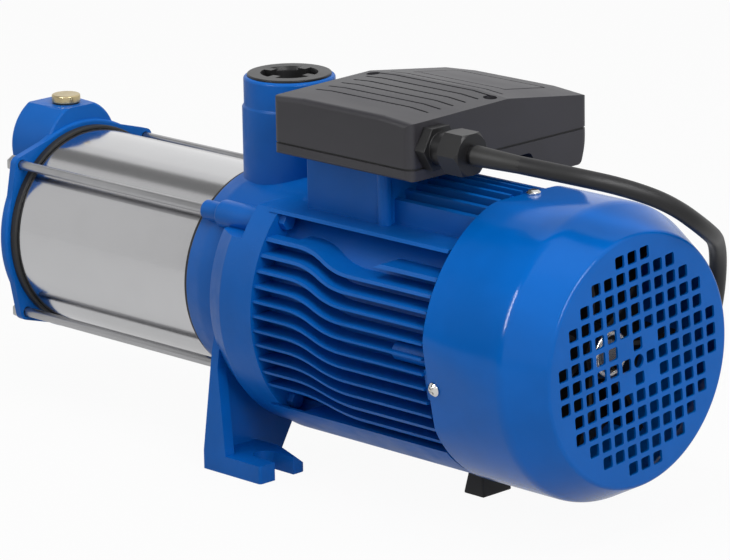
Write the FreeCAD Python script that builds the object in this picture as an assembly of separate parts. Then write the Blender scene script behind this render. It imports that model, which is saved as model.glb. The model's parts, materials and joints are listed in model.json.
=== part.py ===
import FreeCAD, Part
import math
import os

# Horizontal multistage pump with a close-coupled fan-cooled motor.
# Millimetres. +X runs along the shaft to the fan end, +Z is up.
# Shapes are drawn about the shaft axis and lifted onto the floor when they are written.

V = FreeCAD.Vector
ORIGIN = V(0, 0, 0)
X_AXIS = V(1, 0, 0)
Y_AXIS = V(0, 1, 0)
Z_AXIS = V(0, 0, 1)

# Clearances
running_gap = 0.6
seat_gap = 0.15
thread_gap = 0.3
seal_face_gap = 0.3
ball_gap = 0.08

# Shaft height over the floor
shaft_height = 84.0

# Pump stages
stage_count = 5
stage_pitch = 22.0
inlet_space = 11.5
outlet_space = 10.0
stage_wall = 1.5
impeller_radius = 42.0
impeller_eye_radius = 15.0
impeller_ring_wall = 2.0
impeller_hub_radius = 10.5
shroud_thickness = 1.2
blade_height = 4.5
blade_count = 6
blade_sweep = 64.0
blade_bow = 0.33
blade_thickness = 1.6
return_vane_height = 8.0
return_vane_count = 6
return_vane_sweep = -32.0
inlet_plate_thickness = 3.0
spacer_radius = 9.0

# Pump shell and its gaskets
shell_radius = 50.5
shell_wall = 1.0
gasket_radius = 52.2
head_gasket_seat = 1.5
head_gasket_band = 4.0
bracket_gasket_seat = 1.0
bracket_gasket_band = 2.0

# Bracket between pump and motor
bracket_front_x = -44.0
bracket_length = 58.5
casing_front_radius = 53.0
casing_radius = 56.0
chamber_radius = 46.0
chamber_depth = 14.0
back_wall = 12.0
drum_radius = 69.5
drum_length = 31.0
drum_front_radius = 62.5
drum_cone_length = 14.5
drum_top_z = 35.0
bracket_flange_length = 9.5
casing_wall = 5.0
hub_radius = 26.0
hub_bore_radius = 16.0
bracket_rib_thickness = 5.0
bracket_rib_count = 6
bracket_rib_turn = 30.0

# Discharge port
port_x = -22.5
port_top_z = 101.8
port_mouth_radius = 22.7
port_body_radius = 23.6
port_collar_length = 15.4
port_bore_radius = 15.15
port_floor_z = 61.0
port_duct_width = 22.0
port_duct_depth = 6.0
plug_flange_radius = 20.8
plug_flange_thickness = 1.2
plug_opening_radius = 14.3
plug_wall = 1.4
plug_length = 14.0
plug_floor = 2.0
plug_tab_width = 4.4
plug_tab_reach = 4.6
plug_tab_count = 4
plug_tab_turn = 8.0

# Suction head
head_thickness = 6.0
head_radius = 55.0
head_recess_radius = 44.0
head_recess_depth = 3.0
head_edge_radius = 3.0
boss_length = 29.5
boss_z = 41.2
boss_depth_in_disc = 4.5
boss_front_radius = 24.8
boss_rear_radius = 23.4
boss_pad_z = 62.4
suction_bore_radius = 15.15
port_chamfer = 1.2
duct_end_wall = 4.0
window_radius = 12.0
window_drop = 2.0
filler_x = -191.2
filler_shank_radius = 5.5
filler_shank_setback = 0.8
filler_head_radius = 7.4
filler_head_height = 4.0
plug_washer_thickness = 0.7
plug_washer_overhang = 0.8
small_head_round = 0.8
drain_z = -34.0
drain_pad_radius = 9.0
drain_pad_height = 4.0
drain_shank_radius = 4.8
drain_shank_length = 8.0
drain_head_flats = 13.0
drain_head_height = 5.0

# Tie rods
tie_rod_y = 42.4
tie_rod_z = 38.9
tie_rod_radius = 2.4
head_lug_radius = 4.4
head_lug_thickness = 4.0
rod_collar_radius = 4.9
rod_collar_setback = 6.0
rod_collar_length = 17.5
rod_boss_radius = 7.0
rod_boss_length = 30.0
rod_thread_share = 0.8
rod_nut_flats = 7.4
rod_nut_height = 2.9
rod_washer_radius = 4.3
rod_washer_thickness = 0.6
rod_thread_stand = 0.5

# Front foot, one casting with the bracket
foot_front_x = -18.5
foot_web_thickness = 5.0
foot_top_z = -26.0
foot_top_half = 60.0
foot_half = 67.0
foot_knee_height = 9.4
foot_rib_thickness = 6.0
foot_rib_top = 3.0
foot_rib_bottom = 15.5
foot_pad_length = 40.1
foot_pad_thickness = 9.0
foot_pad_inner = 36.5
foot_pad_round = 3.0
foot_toe_length = 18.0
foot_toe_width = 7.0
foot_toe_drop = 5.5
foot_slot_y = 51.0
foot_slot_half = 6.2
foot_slot_depth = 19.1
foot_arch_half = 19.4
foot_arch_crown_half = 8.0
foot_arch_height = 19.0
edge_round = 1.5

# Motor housing
housing_length = 119.5
housing_root_radius = 57.5
stator_bore_radius = 52.0
fin_tip_radius = 68.5
fin_thickness = 1.8
fin_tip_thickness = 1.1
fin_draft = 0.06
fin_pitch = 7.23
fin_count = 11
fin_top_z = 29.7
bend_start_x = 41.5
bend_end_x = 80.0
short_fin_start_x = 93.0
top_fin_count = 9
top_fin_start_x = 79.0
top_fin_pitch = 7.4
housing_flange_length = 5.5
shelf_z = 49.8
shelf_thickness = 1.5
shelf_radius = 70.0
belly_radius = 70.8
belly_top_z = -47.5
pedestal_start_x = 26.6
pedestal_end_x = 80.0
pedestal_near_y = -37.0
pedestal_far_y = 22.0
pedestal_post_radius = 3.5
pedestal_lip = 5.0
wire_hole_radius = 9.0
upper_bolt_y = 46.0
upper_bolt_z = 43.5
lower_bolt_y = 43.0
lower_bolt_z = -46.0
flange_bolt_radius = 2.5
flange_bolt_flats = 7.0
flange_bolt_head = 4.0
flange_bolt_length = 13.0
bolt_pocket_radius = 7.5
bolt_pocket_length = 16.0
spigot_length = 3.0
spigot_wall = 4.0
lug_pad_radius = 4.6
lug_pad_inset = 4.5
lug_pad_length = 22.0

# Shaft and bearings
pump_shaft_radius = 6.0
seal_shaft_radius = 7.0
bearing_bore_radius = 8.5
bearing_outer_radius = 20.0
bearing_width = 12.0
bearing_ring_wall = 3.4
ball_radius = 3.35
ball_count = 8
middle_shaft_radius = 10.0
rotor_shaft_radius = 11.0
fan_shaft_radius = 7.0
front_bearing_x = 0.0
nut_flats = 13.0
nut_height = 6.0
seal_seat_radius = 13.0
seal_seat_length = 6.0
seal_head_radius = 12.0
seal_head_length = 13.0
slinger_radius = 14.0
slinger_thickness = 3.0
slinger_x = -12.0

# Rotor and stator
core_start_x = 42.0
core_length = 66.0
air_gap = 0.5
stator_inner_radius = 30.0
slot_count = 24
slot_width = 3.0
slot_depth = 13.0
slot_mouth = 1.2
coil_overhang = 17.0
coil_outer_radius = 48.0
rotor_ring_length = 7.0

# Rear end shield
shield_plate = 5.0
shield_margin = 4.7
shield_hub_wall = 6.0
shield_hub_back = 3.0
shield_rib_count = 6
shield_rib_thickness = 4.0
shield_rib_inset = 6.0
ear_width = 15.0
ear_length = 14.0
ear_root = 12.0
shield_bolt_radius = 2.4
shield_bolt_length = 20.0
shield_bolt_seat = 1.5
shield_bolt_flats = 7.0
shield_bolt_head = 3.0
shield_bolt_room = 4.6
wave_washer_thickness = 1.2

# Fan and its cover
fan_radius = 57.0
fan_hub_radius = 12.5
fan_plate = 2.5
fan_start_x = 158.0
fan_width = 26.0
fan_hub_length = 28.0
fan_blade_count = 7
fan_blade_thickness = 2.2
fan_blade_slant = 4.0
fan_blade_round = 6.0
fan_turn = 10.0
clamp_radius = 11.6
clamp_length = 5.0
clamp_stand = 2.0
cover_setback = 3.0
cover_length = 70.5
cover_wall = 1.2
cover_radius = 71.4
cover_cone_length = 21.0
cover_face_radius = 60.6
cover_shoulder_radius = 14.0
cover_face_edge = 2.0
pad_depth = 3.0
pad_rise = 4.0
pad_reach = 46.0
screw_angles = (90.0, 190.0, 350.0)
screw_setback = 4.5
screw_head_radius = 3.5
screw_head_height = 2.3
screw_shank_radius = 2.0
screw_shank_length = 9.0
grille_pitch = 8.4
grille_hole = 6.1
grille_turn = 5.3
grille_limit = 37
grille_centre_radius = 3.3

# Rear foot
rear_foot_x = 109.8
rear_foot_length = 13.5
rear_foot_top_length = 8.0
rear_foot_width = 20.0
rear_foot_top_width = 16.0

# Terminal box
box_start_x = 22.9
box_length = 92.4
box_near_y = -55.0
box_far_y = 66.6
box_floor_z = 79.4
box_seam_z = 84.5
box_gasket = 1.0
box_gasket_inset = 0.8
box_wall = 2.5
box_corner_radius = 4.4
deep_start_y = 26.0
deep_inner_y = 33.0
deep_outer_y = 61.0
deep_floor_z = 67.5
box_floor_round = 2.0
trough_round = 3.0
lid_near_z = 108.4
lid_ridge_y = 11.0
lid_ridge_z = 109.8
lid_far_z = 102.3
lid_end_slope = 20.0
lid_end_drop = 1.6
lid_front_drop = 1.3
lid_edge_round = 3.0
lid_ridge_round = 4.0
groove_count = 7
groove_first_y = -34.0
groove_pitch = 8.4
groove_width = 1.3
groove_depth = 0.9
groove_inset = 8.8
plate_start_x = 37.0
plate_end_x = 98.5
plate_near_y = 26.0
plate_far_y = 54.5
plate_line = 0.9
lid_screw_y = 6.0
lid_screw_head_radius = 3.2
lid_screw_head_height = 2.2
lid_screw_sink = 4.0
lid_screw_length = 14.0
post_radius = 4.5
block_length = 46.0
block_width = 18.0
block_height = 13.0
block_sections = 5
block_notch = 1.6
capacitor_radius = 12.0
capacitor_length = 72.0

# Cable gland
gland_y = -40.5
gland_z = 94.4
gland_flats = 20.0
gland_flange = 6.0
gland_neck_radius = 8.0
gland_neck_length = 7.0
gland_nut_flats = 19.6
gland_nut_length = 13.0
gland_thread_length = 7.0

# Mains cable: its route starts at the gland's mouth and ends at the coil
cable_diameter = 8.4
cable_route = [
    (157.0, -40.5, 178.4),
    (191.4, -26.8, 174.0),
    (208.1, -9.9, 168.3),
    (219.3, 9.0, 158.8),
    (220.0, 32.4, 142.4),
    (192.3, 73.7, 123.1),
    (179.0, 86.4, 87.7),
    (168.0, 87.5, 60.0),
    (148.0, 90.0, 26.0),
    (118.0, 94.0, 4.2),
    (80.0, 97.5, 4.2),
    (28.0, 93.2, 4.2),
]
coil_x = -6.0
coil_y = 136.0
coil_turn_radius = 44.0
coil_layers = 2
coil_rings = 2
cable_bend_share = 0.45
plug_body_radius = 18.0
plug_body_length = 34.0
plug_tail_length = 22.0
plug_pin_radius = 2.4
plug_pin_length = 19.0
plug_pin_spread = 9.5
plug_x = -106.0
plug_face_round = 2.0
plug_grip_round = 6.0
plug_neck_length = 4.0

# Stations along the shaft that follow from the sizes above
shell_length = inlet_space + stage_count * stage_pitch + outlet_space
shell_end_x = bracket_front_x - bracket_gasket_seat
shell_start_x = shell_end_x - shell_length
head_rear_x = shell_start_x - head_gasket_seat
head_front_x = head_rear_x - head_thickness
lug_front_x = head_rear_x - head_lug_thickness
suction_face_x = head_rear_x - boss_length
stack_x = shell_start_x + inlet_space
stack_end_x = stack_x + stage_count * stage_pitch
bracket_rear_x = bracket_front_x + bracket_length
chamber_floor_x = bracket_front_x + chamber_depth
lantern_x = chamber_floor_x + back_wall
housing_rear_x = bracket_rear_x + housing_length
rear_bearing_x = housing_rear_x
cover_rim_x = housing_rear_x + cover_setback
cover_face_x = cover_rim_x + cover_length
box_end_x = box_start_x + box_length
floor_z = -shaft_height
cup_radius = shell_radius - shell_wall - seat_gap
ball_circle_radius = (bearing_bore_radius + bearing_outer_radius) / 2
shaft_end_x = fan_start_x + fan_hub_length + clamp_length - clamp_stand
gland_mouth_x = box_end_x + gland_flange + gland_neck_length + gland_nut_length
pad_distance = cover_radius - pad_depth
shield_radius = cover_radius - cover_wall - shield_margin
lug_pad_centre = shield_radius - lug_pad_inset
lid_screw_inset = box_wall + seat_gap + post_radius
plug_tail_x = plug_x + plug_body_length + plug_tail_length
plug_y = coil_y - coil_turn_radius - (coil_rings - 1) * cable_diameter / 2


def cylinder_x(start, end, radius, y=0.0, z=0.0):
    """A cylinder along X from start to end."""
    return Part.makeCylinder(radius, end - start, V(start, y, z), X_AXIS)


def cylinder_z(bottom, top, radius, x, y=0.0):
    """A cylinder along Z from bottom to top."""
    return Part.makeCylinder(radius, top - bottom, V(x, y, bottom), Z_AXIS)


def tube_x(start, end, outer, inner, y=0.0, z=0.0):
    """A tube along X."""
    return cylinder_x(start, end, outer, y, z).cut(cylinder_x(start, end, inner, y, z))


def block(x0, x1, y0, y1, z0, z1):
    """A box between two corners."""
    return Part.makeBox(x1 - x0, y1 - y0, z1 - z0, V(x0, y0, z0))


def outline(corners, place):
    """A closed wire through corners (u, v) or (u, v, radius), each placed in space by place(u, v)."""
    count = len(corners)
    starts = []
    ends = []
    mids = []
    for index, corner in enumerate(corners):
        here = V(corner[0], corner[1], 0)
        radius = corner[2] if len(corner) > 2 else 0.0
        before = corners[index - 1]
        after = corners[(index + 1) % count]
        back = V(before[0], before[1], 0) - here
        ahead = V(after[0], after[1], 0) - here
        if radius <= 0:
            starts.append(here)
            ends.append(here)
            mids.append(None)
            continue
        half = back.getAngle(ahead) / 2
        reach = min(radius / math.tan(half), 0.49 * min(back.Length, ahead.Length))
        radius = reach * math.tan(half)
        back.normalize()
        ahead.normalize()
        middle = back + ahead
        middle.normalize()
        centre = here + middle * (radius / math.sin(half))
        starts.append(here + back * reach)
        ends.append(here + ahead * reach)
        mids.append(centre - middle * radius)
    edges = []
    for index in range(count):
        if mids[index] is not None:
            bend = [place(p.x, p.y) for p in (starts[index], mids[index], ends[index])]
            edges.append(Part.Arc(*bend).toShape())
        following = starts[(index + 1) % count]
        if ends[index].distanceToPoint(following) > 1e-6:
            run = (place(ends[index].x, ends[index].y), place(following.x, following.y))
            edges.append(Part.LineSegment(*run).toShape())
    return Part.Wire(edges)


def prism_x(corners, start, end):
    """An outline in (y, z), carried along X."""
    face = Part.Face(outline(corners, lambda y, z: V(start, y, z)))
    return face.extrude(V(end - start, 0, 0))


def prism_y(corners, start, end):
    """An outline in (x, z), carried along Y."""
    face = Part.Face(outline(corners, lambda x, z: V(x, start, z)))
    return face.extrude(V(0, end - start, 0))


def prism_z(corners, start, end):
    """An outline in (x, y), carried along Z."""
    face = Part.Face(outline(corners, lambda x, y: V(x, y, start)))
    return face.extrude(V(0, 0, end - start))


def turned_x(corners, y=0.0, z=0.0):
    """A turned form about an axis along X, from its half outline in (x, radius)."""
    face = Part.Face(outline(corners, lambda x, radius: V(x, y, z + radius)))
    return face.revolve(V(0, y, z), X_AXIS, 360)


def turned_z(corners, x, y=0.0):
    """A turned form about an axis along Z, from its half outline in (radius, z)."""
    face = Part.Face(outline(corners, lambda radius, z: V(x + radius, y, z)))
    return face.revolve(V(x, y, 0), Z_AXIS, 360)


def hexagon_x(start, end, flats, y=0.0, z=0.0):
    """A hexagonal bar along X, given across its flats."""
    corner = flats / math.sqrt(3)
    corners = []
    for step in range(6):
        angle = math.radians(60 * step)
        corners.append((y + corner * math.cos(angle), z + corner * math.sin(angle)))
    return prism_x(corners, start, end)


def spun(shape, degrees):
    """A copy turned about the shaft axis."""
    copy = shape.copy()
    copy.rotate(ORIGIN, X_AXIS, degrees)
    return copy


def ring_of(shape, count, first=0.0):
    """Copies of a shape, evenly spaced about the shaft axis."""
    return [spun(shape, first + 360.0 * step / count) for step in range(count)]


def upper_side(first, second, third):
    """A large block that stands on the plane through three points."""
    normal = (second - first).cross(third - first)
    if normal.z < 0:
        normal = normal * -1
    size = 4 * drum_radius
    slab = Part.makeBox(size, size, size, V(-size / 2, -size / 2, 0))
    slab.Placement = FreeCAD.Placement(first, FreeCAD.Rotation(Z_AXIS, normal))
    return slab


def both_sides(shape):
    """A shape and its mirror image across the middle plane."""
    return [shape, shape.mirror(ORIGIN, Y_AXIS)]


def joined(first, *others):
    """One solid from shapes that touch or overlap."""
    return first.fuse(list(others)).removeSplitter()


def four_rods(make):
    """make(y, z) at each of the four tie rods."""
    places = [(side * tie_rod_y, level * tie_rod_z) for side in (-1, 1) for level in (-1, 1)]
    return [make(y, z) for y, z in places]


def write(name, *solids):
    """Write a node, lifted from the shaft axis to its height over the floor."""
    shape = solids[0] if len(solids) == 1 else Part.makeCompound(list(solids))
    shape.translated(V(0, 0, shaft_height)).exportStep("parts/" + name + ".step")


def tapered_arm(start, end, y0, z0, radius0, y1, z1, radius1):
    """A flat arm along X with round ends of two sizes, its sides tangent to both."""
    along = V(0, y1 - y0, z1 - z0)
    span = along.Length
    along.normalize()
    across = V(0, -along.z, along.y)
    slope = (radius0 - radius1) / span
    lean = math.sqrt(1 - slope * slope)
    corners = []
    for side, ends in ((1, (0, 1)), (-1, (1, 0))):
        direction = along * slope + across * (side * lean)
        for which in ends:
            y, z, radius = ((y0, z0, radius0), (y1, z1, radius1))[which]
            corners.append((y + direction.y * radius, z + direction.z * radius))
    ends = [cylinder_x(start, end, radius0, y0, z0), cylinder_x(start, end, radius1, y1, z1)]
    return joined(prism_x(corners, start, end), *ends)


def swept_blade(start, end, inner, outer, sweep):
    """A blade that curves back about the shaft, between two radii."""
    def edge(shift):
        places = []
        for radius, share in ((inner, 0), ((inner + outer) / 2, blade_bow), (outer, 1)):
            angle = math.radians(sweep) * share + shift / radius
            places.append(V(start, radius * math.sin(angle), radius * math.cos(angle)))
        return places
    lead = edge(0)
    trail = edge(blade_thickness)
    face = Part.Face(Part.Wire([
        Part.Arc(*lead).toShape(),
        Part.LineSegment(lead[2], trail[2]).toShape(),
        Part.Arc(*trail).toShape(),
        Part.LineSegment(trail[0], lead[0]).toShape(),
    ]))
    return face.extrude(V(end - start, 0, 0))


def suction_head():
    """The cast head: a flanged disc drawn out to four rod lugs, with the threaded suction boss above."""
    recess_x = head_rear_x - head_recess_depth
    boss_end_x = head_front_x + boss_depth_in_disc
    disc = turned_x([
        (head_front_x, 0),
        (head_front_x, head_radius, head_edge_radius),
        (head_rear_x, head_radius, edge_round),
        (head_rear_x, 0),
    ])
    boss = turned_x([
        (suction_face_x, 0),
        (suction_face_x, boss_front_radius, edge_round),
        (boss_end_x, boss_rear_radius, edge_round),
        (boss_end_x, 0),
    ], z=boss_z)

    def lug(y, z):
        inner = head_radius - edge_round
        return tapered_arm(lug_front_x, head_rear_x, 0, 0, inner, y, z, head_lug_radius)

    drain_pad = cylinder_x(head_front_x - drain_pad_height, head_rear_x, drain_pad_radius, 0, drain_z)
    body = joined(disc, boss, drain_pad, *four_rods(lug))
    above_pad = block(suction_face_x - 1, head_rear_x + 1, -boss_front_radius, boss_front_radius,
                      boss_pad_z, boss_z + 2 * boss_front_radius)
    recess = cylinder_x(recess_x, head_rear_x + 1, head_recess_radius)
    bore_end_x = recess_x - duct_end_wall
    bore = cylinder_x(suction_face_x - 1, bore_end_x, suction_bore_radius, 0, boss_z)
    window = cylinder_x(bore_end_x - 1, head_rear_x, window_radius, 0, boss_z - window_drop).common(
        cylinder_x(bore_end_x - 1, head_rear_x, head_recess_radius))
    mouth = Part.makeCone(suction_bore_radius + port_chamfer, suction_bore_radius, port_chamfer,
                          V(suction_face_x, 0, boss_z), X_AXIS)
    filler = cylinder_z(boss_z, boss_pad_z + 1, filler_shank_radius + thread_gap, filler_x)
    drain = cylinder_x(head_front_x - drain_pad_height - 1, recess_x + 1, drain_shank_radius + thread_gap,
                       0, drain_z)
    rod_holes = four_rods(lambda y, z: cylinder_x(
        head_front_x - 1, head_rear_x + 1, tie_rod_radius + thread_gap, y, z))
    spot_faces = four_rods(lambda y, z: cylinder_x(
        head_front_x - 1, lug_front_x, rod_washer_radius + seat_gap, y, z))
    cuts = [above_pad, recess, bore, window, mouth, filler, drain] + rod_holes + spot_faces
    return body.cut(cuts).removeSplitter()


def gasket(face_x, seat, band, direction):
    """A ring between a cast face and the shell's end, with a lip that shows round the shell."""
    inner = shell_radius - 3 * shell_wall
    return turned_x([
        (face_x, inner),
        (face_x, gasket_radius),
        (face_x + direction * band, gasket_radius),
        (face_x + direction * band, shell_radius),
        (face_x + direction * seat, shell_radius),
        (face_x + direction * seat, inner),
    ])


def bracket():
    """The cast bracket: pump back cover, discharge port, bearing seat, motor flange and front foot."""
    drum_x = bracket_rear_x - drum_length
    flange_x = bracket_rear_x - bracket_flange_length
    casing = turned_x([
        (bracket_front_x, 0),
        (bracket_front_x, casing_front_radius, edge_round),
        (bracket_front_x + chamber_depth, casing_radius),
        (bracket_rear_x, casing_radius),
        (bracket_rear_x, 0),
    ])
    lower_drum = turned_x([
        (drum_x, 0),
        (drum_x, drum_front_radius, edge_round),
        (drum_x + drum_cone_length, drum_radius, 2 * edge_round),
        (bracket_rear_x, drum_radius),
        (bracket_rear_x, 0),
    ]).cut(block(drum_x - 1, bracket_rear_x + 1, -2 * drum_radius, 2 * drum_radius,
                 drum_top_z, 2 * drum_radius))
    flange = cylinder_x(flange_x, bracket_rear_x, drum_radius).common(
        block(flange_x, bracket_rear_x, -drum_radius, drum_radius, -drum_radius, shelf_z))
    port = turned_z([
        (0, 0),
        (port_body_radius, 0),
        (port_body_radius, port_top_z - port_collar_length),
        (port_mouth_radius, port_top_z - port_collar_length + edge_round, edge_round),
        (port_mouth_radius, port_top_z, edge_round),
        (0, port_top_z),
    ], port_x)

    boss_start_x = bracket_front_x + rod_collar_length

    def rod_boss(y, z):
        start = boss_start_x if z > 0 else foot_front_x + edge_round
        boss = turned_x([
            (start, 0),
            (start, rod_boss_radius, edge_round),
            (boss_start_x + rod_boss_length, rod_boss_radius, edge_round),
            (boss_start_x + rod_boss_length, 0),
        ], y, z)
        if z < 0:
            return boss
        collar_x = bracket_front_x + rod_collar_setback
        return joined(boss, cylinder_x(collar_x, boss_start_x, rod_collar_radius, y, z))

    body = joined(casing, lower_drum, flange, port, foot_casting(), *four_rods(rod_boss))
    rod_hole_end = boss_start_x + rod_boss_length * rod_thread_share
    cuts = [
        cylinder_x(bracket_front_x - 1, chamber_floor_x, chamber_radius),
        cylinder_x(port_x - port_body_radius - 1, bracket_front_x, gasket_radius + seat_gap),
        cylinder_x(chamber_floor_x - 1, chamber_floor_x + seal_seat_length, seal_seat_radius),
        cylinder_x(chamber_floor_x, lantern_x + 1, seal_shaft_radius + 2 * running_gap),
        cylinder_x(lantern_x, front_bearing_x + 1, hub_bore_radius),
        cylinder_x(front_bearing_x, bracket_rear_x + 1, bearing_outer_radius),
        lantern_void(),
        cylinder_z(port_floor_z, port_top_z + 1, port_bore_radius, port_x),
        Part.makeCone(port_bore_radius, port_bore_radius + port_chamfer, port_chamfer,
                      V(port_x, 0, port_top_z - port_chamfer), Z_AXIS),
        block(chamber_floor_x - port_duct_depth, chamber_floor_x, -port_duct_width / 2, port_duct_width / 2,
              chamber_radius / 2, port_floor_z + 1),
    ]
    cuts += four_rods(lambda y, z: cylinder_x(bracket_front_x, rod_hole_end, tie_rod_radius, y, z))
    cuts += flange_bolt_bars(bracket_rear_x - flange_bolt_length + housing_flange_length - 1,
                             bracket_rear_x + 1, flange_bolt_radius)
    return body.cut(cuts).removeSplitter()


def lantern_void():
    """The space round the bearing hub, left between radial ribs."""
    void = tube_x(lantern_x, bracket_rear_x + 1, casing_radius - casing_wall, hub_radius)
    rib = block(lantern_x - 1, bracket_rear_x - bracket_flange_length, -bracket_rib_thickness / 2,
                bracket_rib_thickness / 2, 0, casing_radius)
    return void.cut(ring_of(rib, bracket_rib_count, bracket_rib_turn))


def foot_casting():
    """The front foot: a web with an arch, two leaning side ribs and two slotted pads."""
    knee_z = floor_z + foot_knee_height
    half_outline = [
        (0.0, floor_z + foot_arch_height),
        (foot_arch_crown_half, floor_z + foot_arch_height),
        (foot_arch_half, floor_z),
        (foot_half, floor_z),
        (foot_half, knee_z),
        (foot_top_half, foot_top_z),
        (foot_top_half - foot_rib_thickness, 0.0),
        (0.0, 0.0),
    ]
    web = prism_x(half_outline, foot_front_x, foot_front_x + foot_web_thickness)
    rib = prism_x([
        (foot_half, floor_z),
        (foot_half, knee_z),
        (foot_top_half, foot_top_z),
        (foot_top_half - foot_rib_thickness, foot_top_z),
        (foot_half - foot_rib_thickness, knee_z),
        (foot_half - foot_rib_thickness, floor_z),
    ], foot_front_x, foot_front_x + foot_rib_bottom)
    taper = prism_y([
        (foot_front_x, floor_z),
        (foot_front_x + foot_rib_bottom, floor_z),
        (foot_front_x + foot_rib_bottom, knee_z),
        (foot_front_x + foot_rib_top, foot_top_z),
        (foot_front_x, foot_top_z),
    ], 0, 2 * foot_half)
    pad_end = foot_front_x + foot_pad_length
    pad = prism_z([
        (foot_front_x, foot_pad_inner),
        (pad_end, foot_pad_inner, foot_pad_round),
        (pad_end, foot_half, edge_round),
        (foot_front_x, foot_half),
    ], floor_z, floor_z + foot_pad_thickness)
    slot_centre = pad_end - foot_slot_depth + foot_slot_half
    slot = [
        cylinder_z(floor_z - 1, floor_z + foot_pad_thickness + 1, foot_slot_half, slot_centre, foot_slot_y),
        block(slot_centre, pad_end + 1, foot_slot_y - foot_slot_half, foot_slot_y + foot_slot_half,
              floor_z - 1, floor_z + foot_pad_thickness + 1),
    ]
    toe_top = floor_z + foot_pad_thickness
    toe = upper_side(V(pad_end - foot_toe_length, foot_pad_inner, toe_top),
                     V(pad_end, foot_pad_inner + foot_toe_width, toe_top),
                     V(pad_end, foot_pad_inner, toe_top - foot_toe_drop))
    side = joined(web, rib.common(taper), pad.cut(slot + [toe]))
    return joined(*both_sides(side))


def flange_bolt_bars(start, end, radius):
    """Bars at the four places where the motor is bolted to the bracket."""
    places = ((upper_bolt_y, upper_bolt_z), (lower_bolt_y, lower_bolt_z))
    return [cylinder_x(start, end, radius, side * y, z) for y, z in places for side in (-1, 1)]


def fin_section(z_rear, y, start, end):
    """A side fin's outline at y: level, a smooth drop of one pitch by two arcs, level again."""
    thickness = fin_tip_thickness + fin_draft * (fin_tip_radius - abs(y))
    z_front = z_rear + fin_pitch
    middle_x = (bend_start_x + bend_end_x) / 2
    middle_z = (z_front + z_rear) / 2
    run = (bend_end_x - bend_start_x) / 2
    rise = fin_pitch / 2
    radius = (run * run + rise * rise) / (2 * rise)
    turn = math.asin(run / radius) / 2

    def edge(z_shift):
        reach = radius * math.sin(turn)
        sink = radius * (1 - math.cos(turn))
        first_mid = V(bend_start_x + reach, y, z_front - sink + z_shift)
        last_mid = V(bend_end_x - reach, y, z_rear + sink + z_shift)
        front = V(bend_start_x, y, z_front + z_shift)
        centre = V(middle_x, y, middle_z + z_shift)
        rear = V(bend_end_x, y, z_rear + z_shift)
        return [
            Part.LineSegment(V(start, y, z_front + z_shift), front).toShape(),
            Part.Arc(front, first_mid, centre).toShape(),
            Part.Arc(centre, last_mid, rear).toShape(),
            Part.LineSegment(rear, V(end, y, z_rear + z_shift)).toShape(),
        ]
    upper = edge(thickness / 2)
    lower = edge(-thickness / 2)
    front, rear = [
        Part.LineSegment(V(x, y, z - thickness / 2), V(x, y, z + thickness / 2)).toShape()
        for x, z in ((start, z_front), (end, z_rear))
    ]
    return Part.Wire(upper + [rear] + lower[::-1] + [front])


def bent_fin(z_rear, start, end):
    """A side fin, thick at the middle plane and thin at both tips."""
    middle, near, far = [fin_section(z_rear, y, start, end) for y in (0, -fin_tip_radius, fin_tip_radius)]
    return joined(Part.makeLoft([middle, near], True, True), Part.makeLoft([middle, far], True, True))


def motor_housing():
    """The cast housing: bore, curved side fins, straight top fins, shelf, box pedestal and smooth belly."""
    start = bracket_rear_x
    end = housing_rear_x
    fin_zone = cylinder_x(start, end, fin_tip_radius)
    side_fins = [
        bent_fin(fin_top_z - fin_pitch * index, start, end).common(fin_zone)
        for index in range(fin_count)
    ]
    short_fin = prism_y([
        (short_fin_start_x, fin_top_z + fin_pitch - fin_thickness / 2),
        (end, fin_top_z + fin_pitch - fin_thickness / 2),
        (end, fin_top_z + fin_pitch + fin_thickness / 2),
        (short_fin_start_x + 2 * fin_thickness, fin_top_z + fin_pitch + fin_thickness / 2),
    ], -fin_tip_radius, fin_tip_radius).common(fin_zone)
    top_fins = []
    for index in range(top_fin_count):
        y = (index - (top_fin_count - 1) / 2) * top_fin_pitch
        fin = block(top_fin_start_x, end, y - fin_thickness / 2, y + fin_thickness / 2,
                    housing_root_radius / 2, 2 * fin_tip_radius)
        top_fins.append(fin.common(fin_zone))
    shelf = cylinder_x(start, end, shelf_radius).common(
        block(start, end, -shelf_radius, shelf_radius, shelf_z - shelf_thickness, shelf_z))
    belly = cylinder_x(start, end, belly_radius).common(
        block(start, end, -belly_radius, belly_radius, -belly_radius, belly_top_z))
    flange = cylinder_x(start, start + housing_flange_length, drum_radius).common(
        block(start, start + housing_flange_length, -drum_radius, drum_radius, -drum_radius, shelf_z))
    lug_pad = cylinder_x(end - lug_pad_length, end, lug_pad_radius, 0, lug_pad_centre)
    body = joined(cylinder_x(start, end, housing_root_radius), flange, shelf, belly, short_fin,
                  pedestal(), *side_fins, *top_fins, *ring_of(lug_pad, 4))
    cuts = [
        cylinder_x(start - 1, end + 1, stator_bore_radius),
        cylinder_z(stator_bore_radius / 2, box_floor_z + 1, wire_hole_radius,
                   (pedestal_start_x + pedestal_end_x) / 2),
    ]
    cuts += flange_bolt_bars(start - 1, start + housing_flange_length + 1, flange_bolt_radius + thread_gap)
    pocket_x = start + housing_flange_length
    pockets = flange_bolt_bars(pocket_x, pocket_x + bolt_pocket_length, bolt_pocket_radius)
    below_shelf = block(start, end, -belly_radius, belly_radius, -belly_radius, shelf_z - shelf_thickness)
    outside_core = below_shelf.cut(cylinder_x(start - 1, end + 1, housing_root_radius))
    cuts += [pocket.common(outside_core) for pocket in pockets]
    cuts += shield_bolt_bars(end + shield_bolt_seat - shield_bolt_length, end + 1, shield_bolt_radius)
    return body.cut(cuts).removeSplitter()


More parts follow.
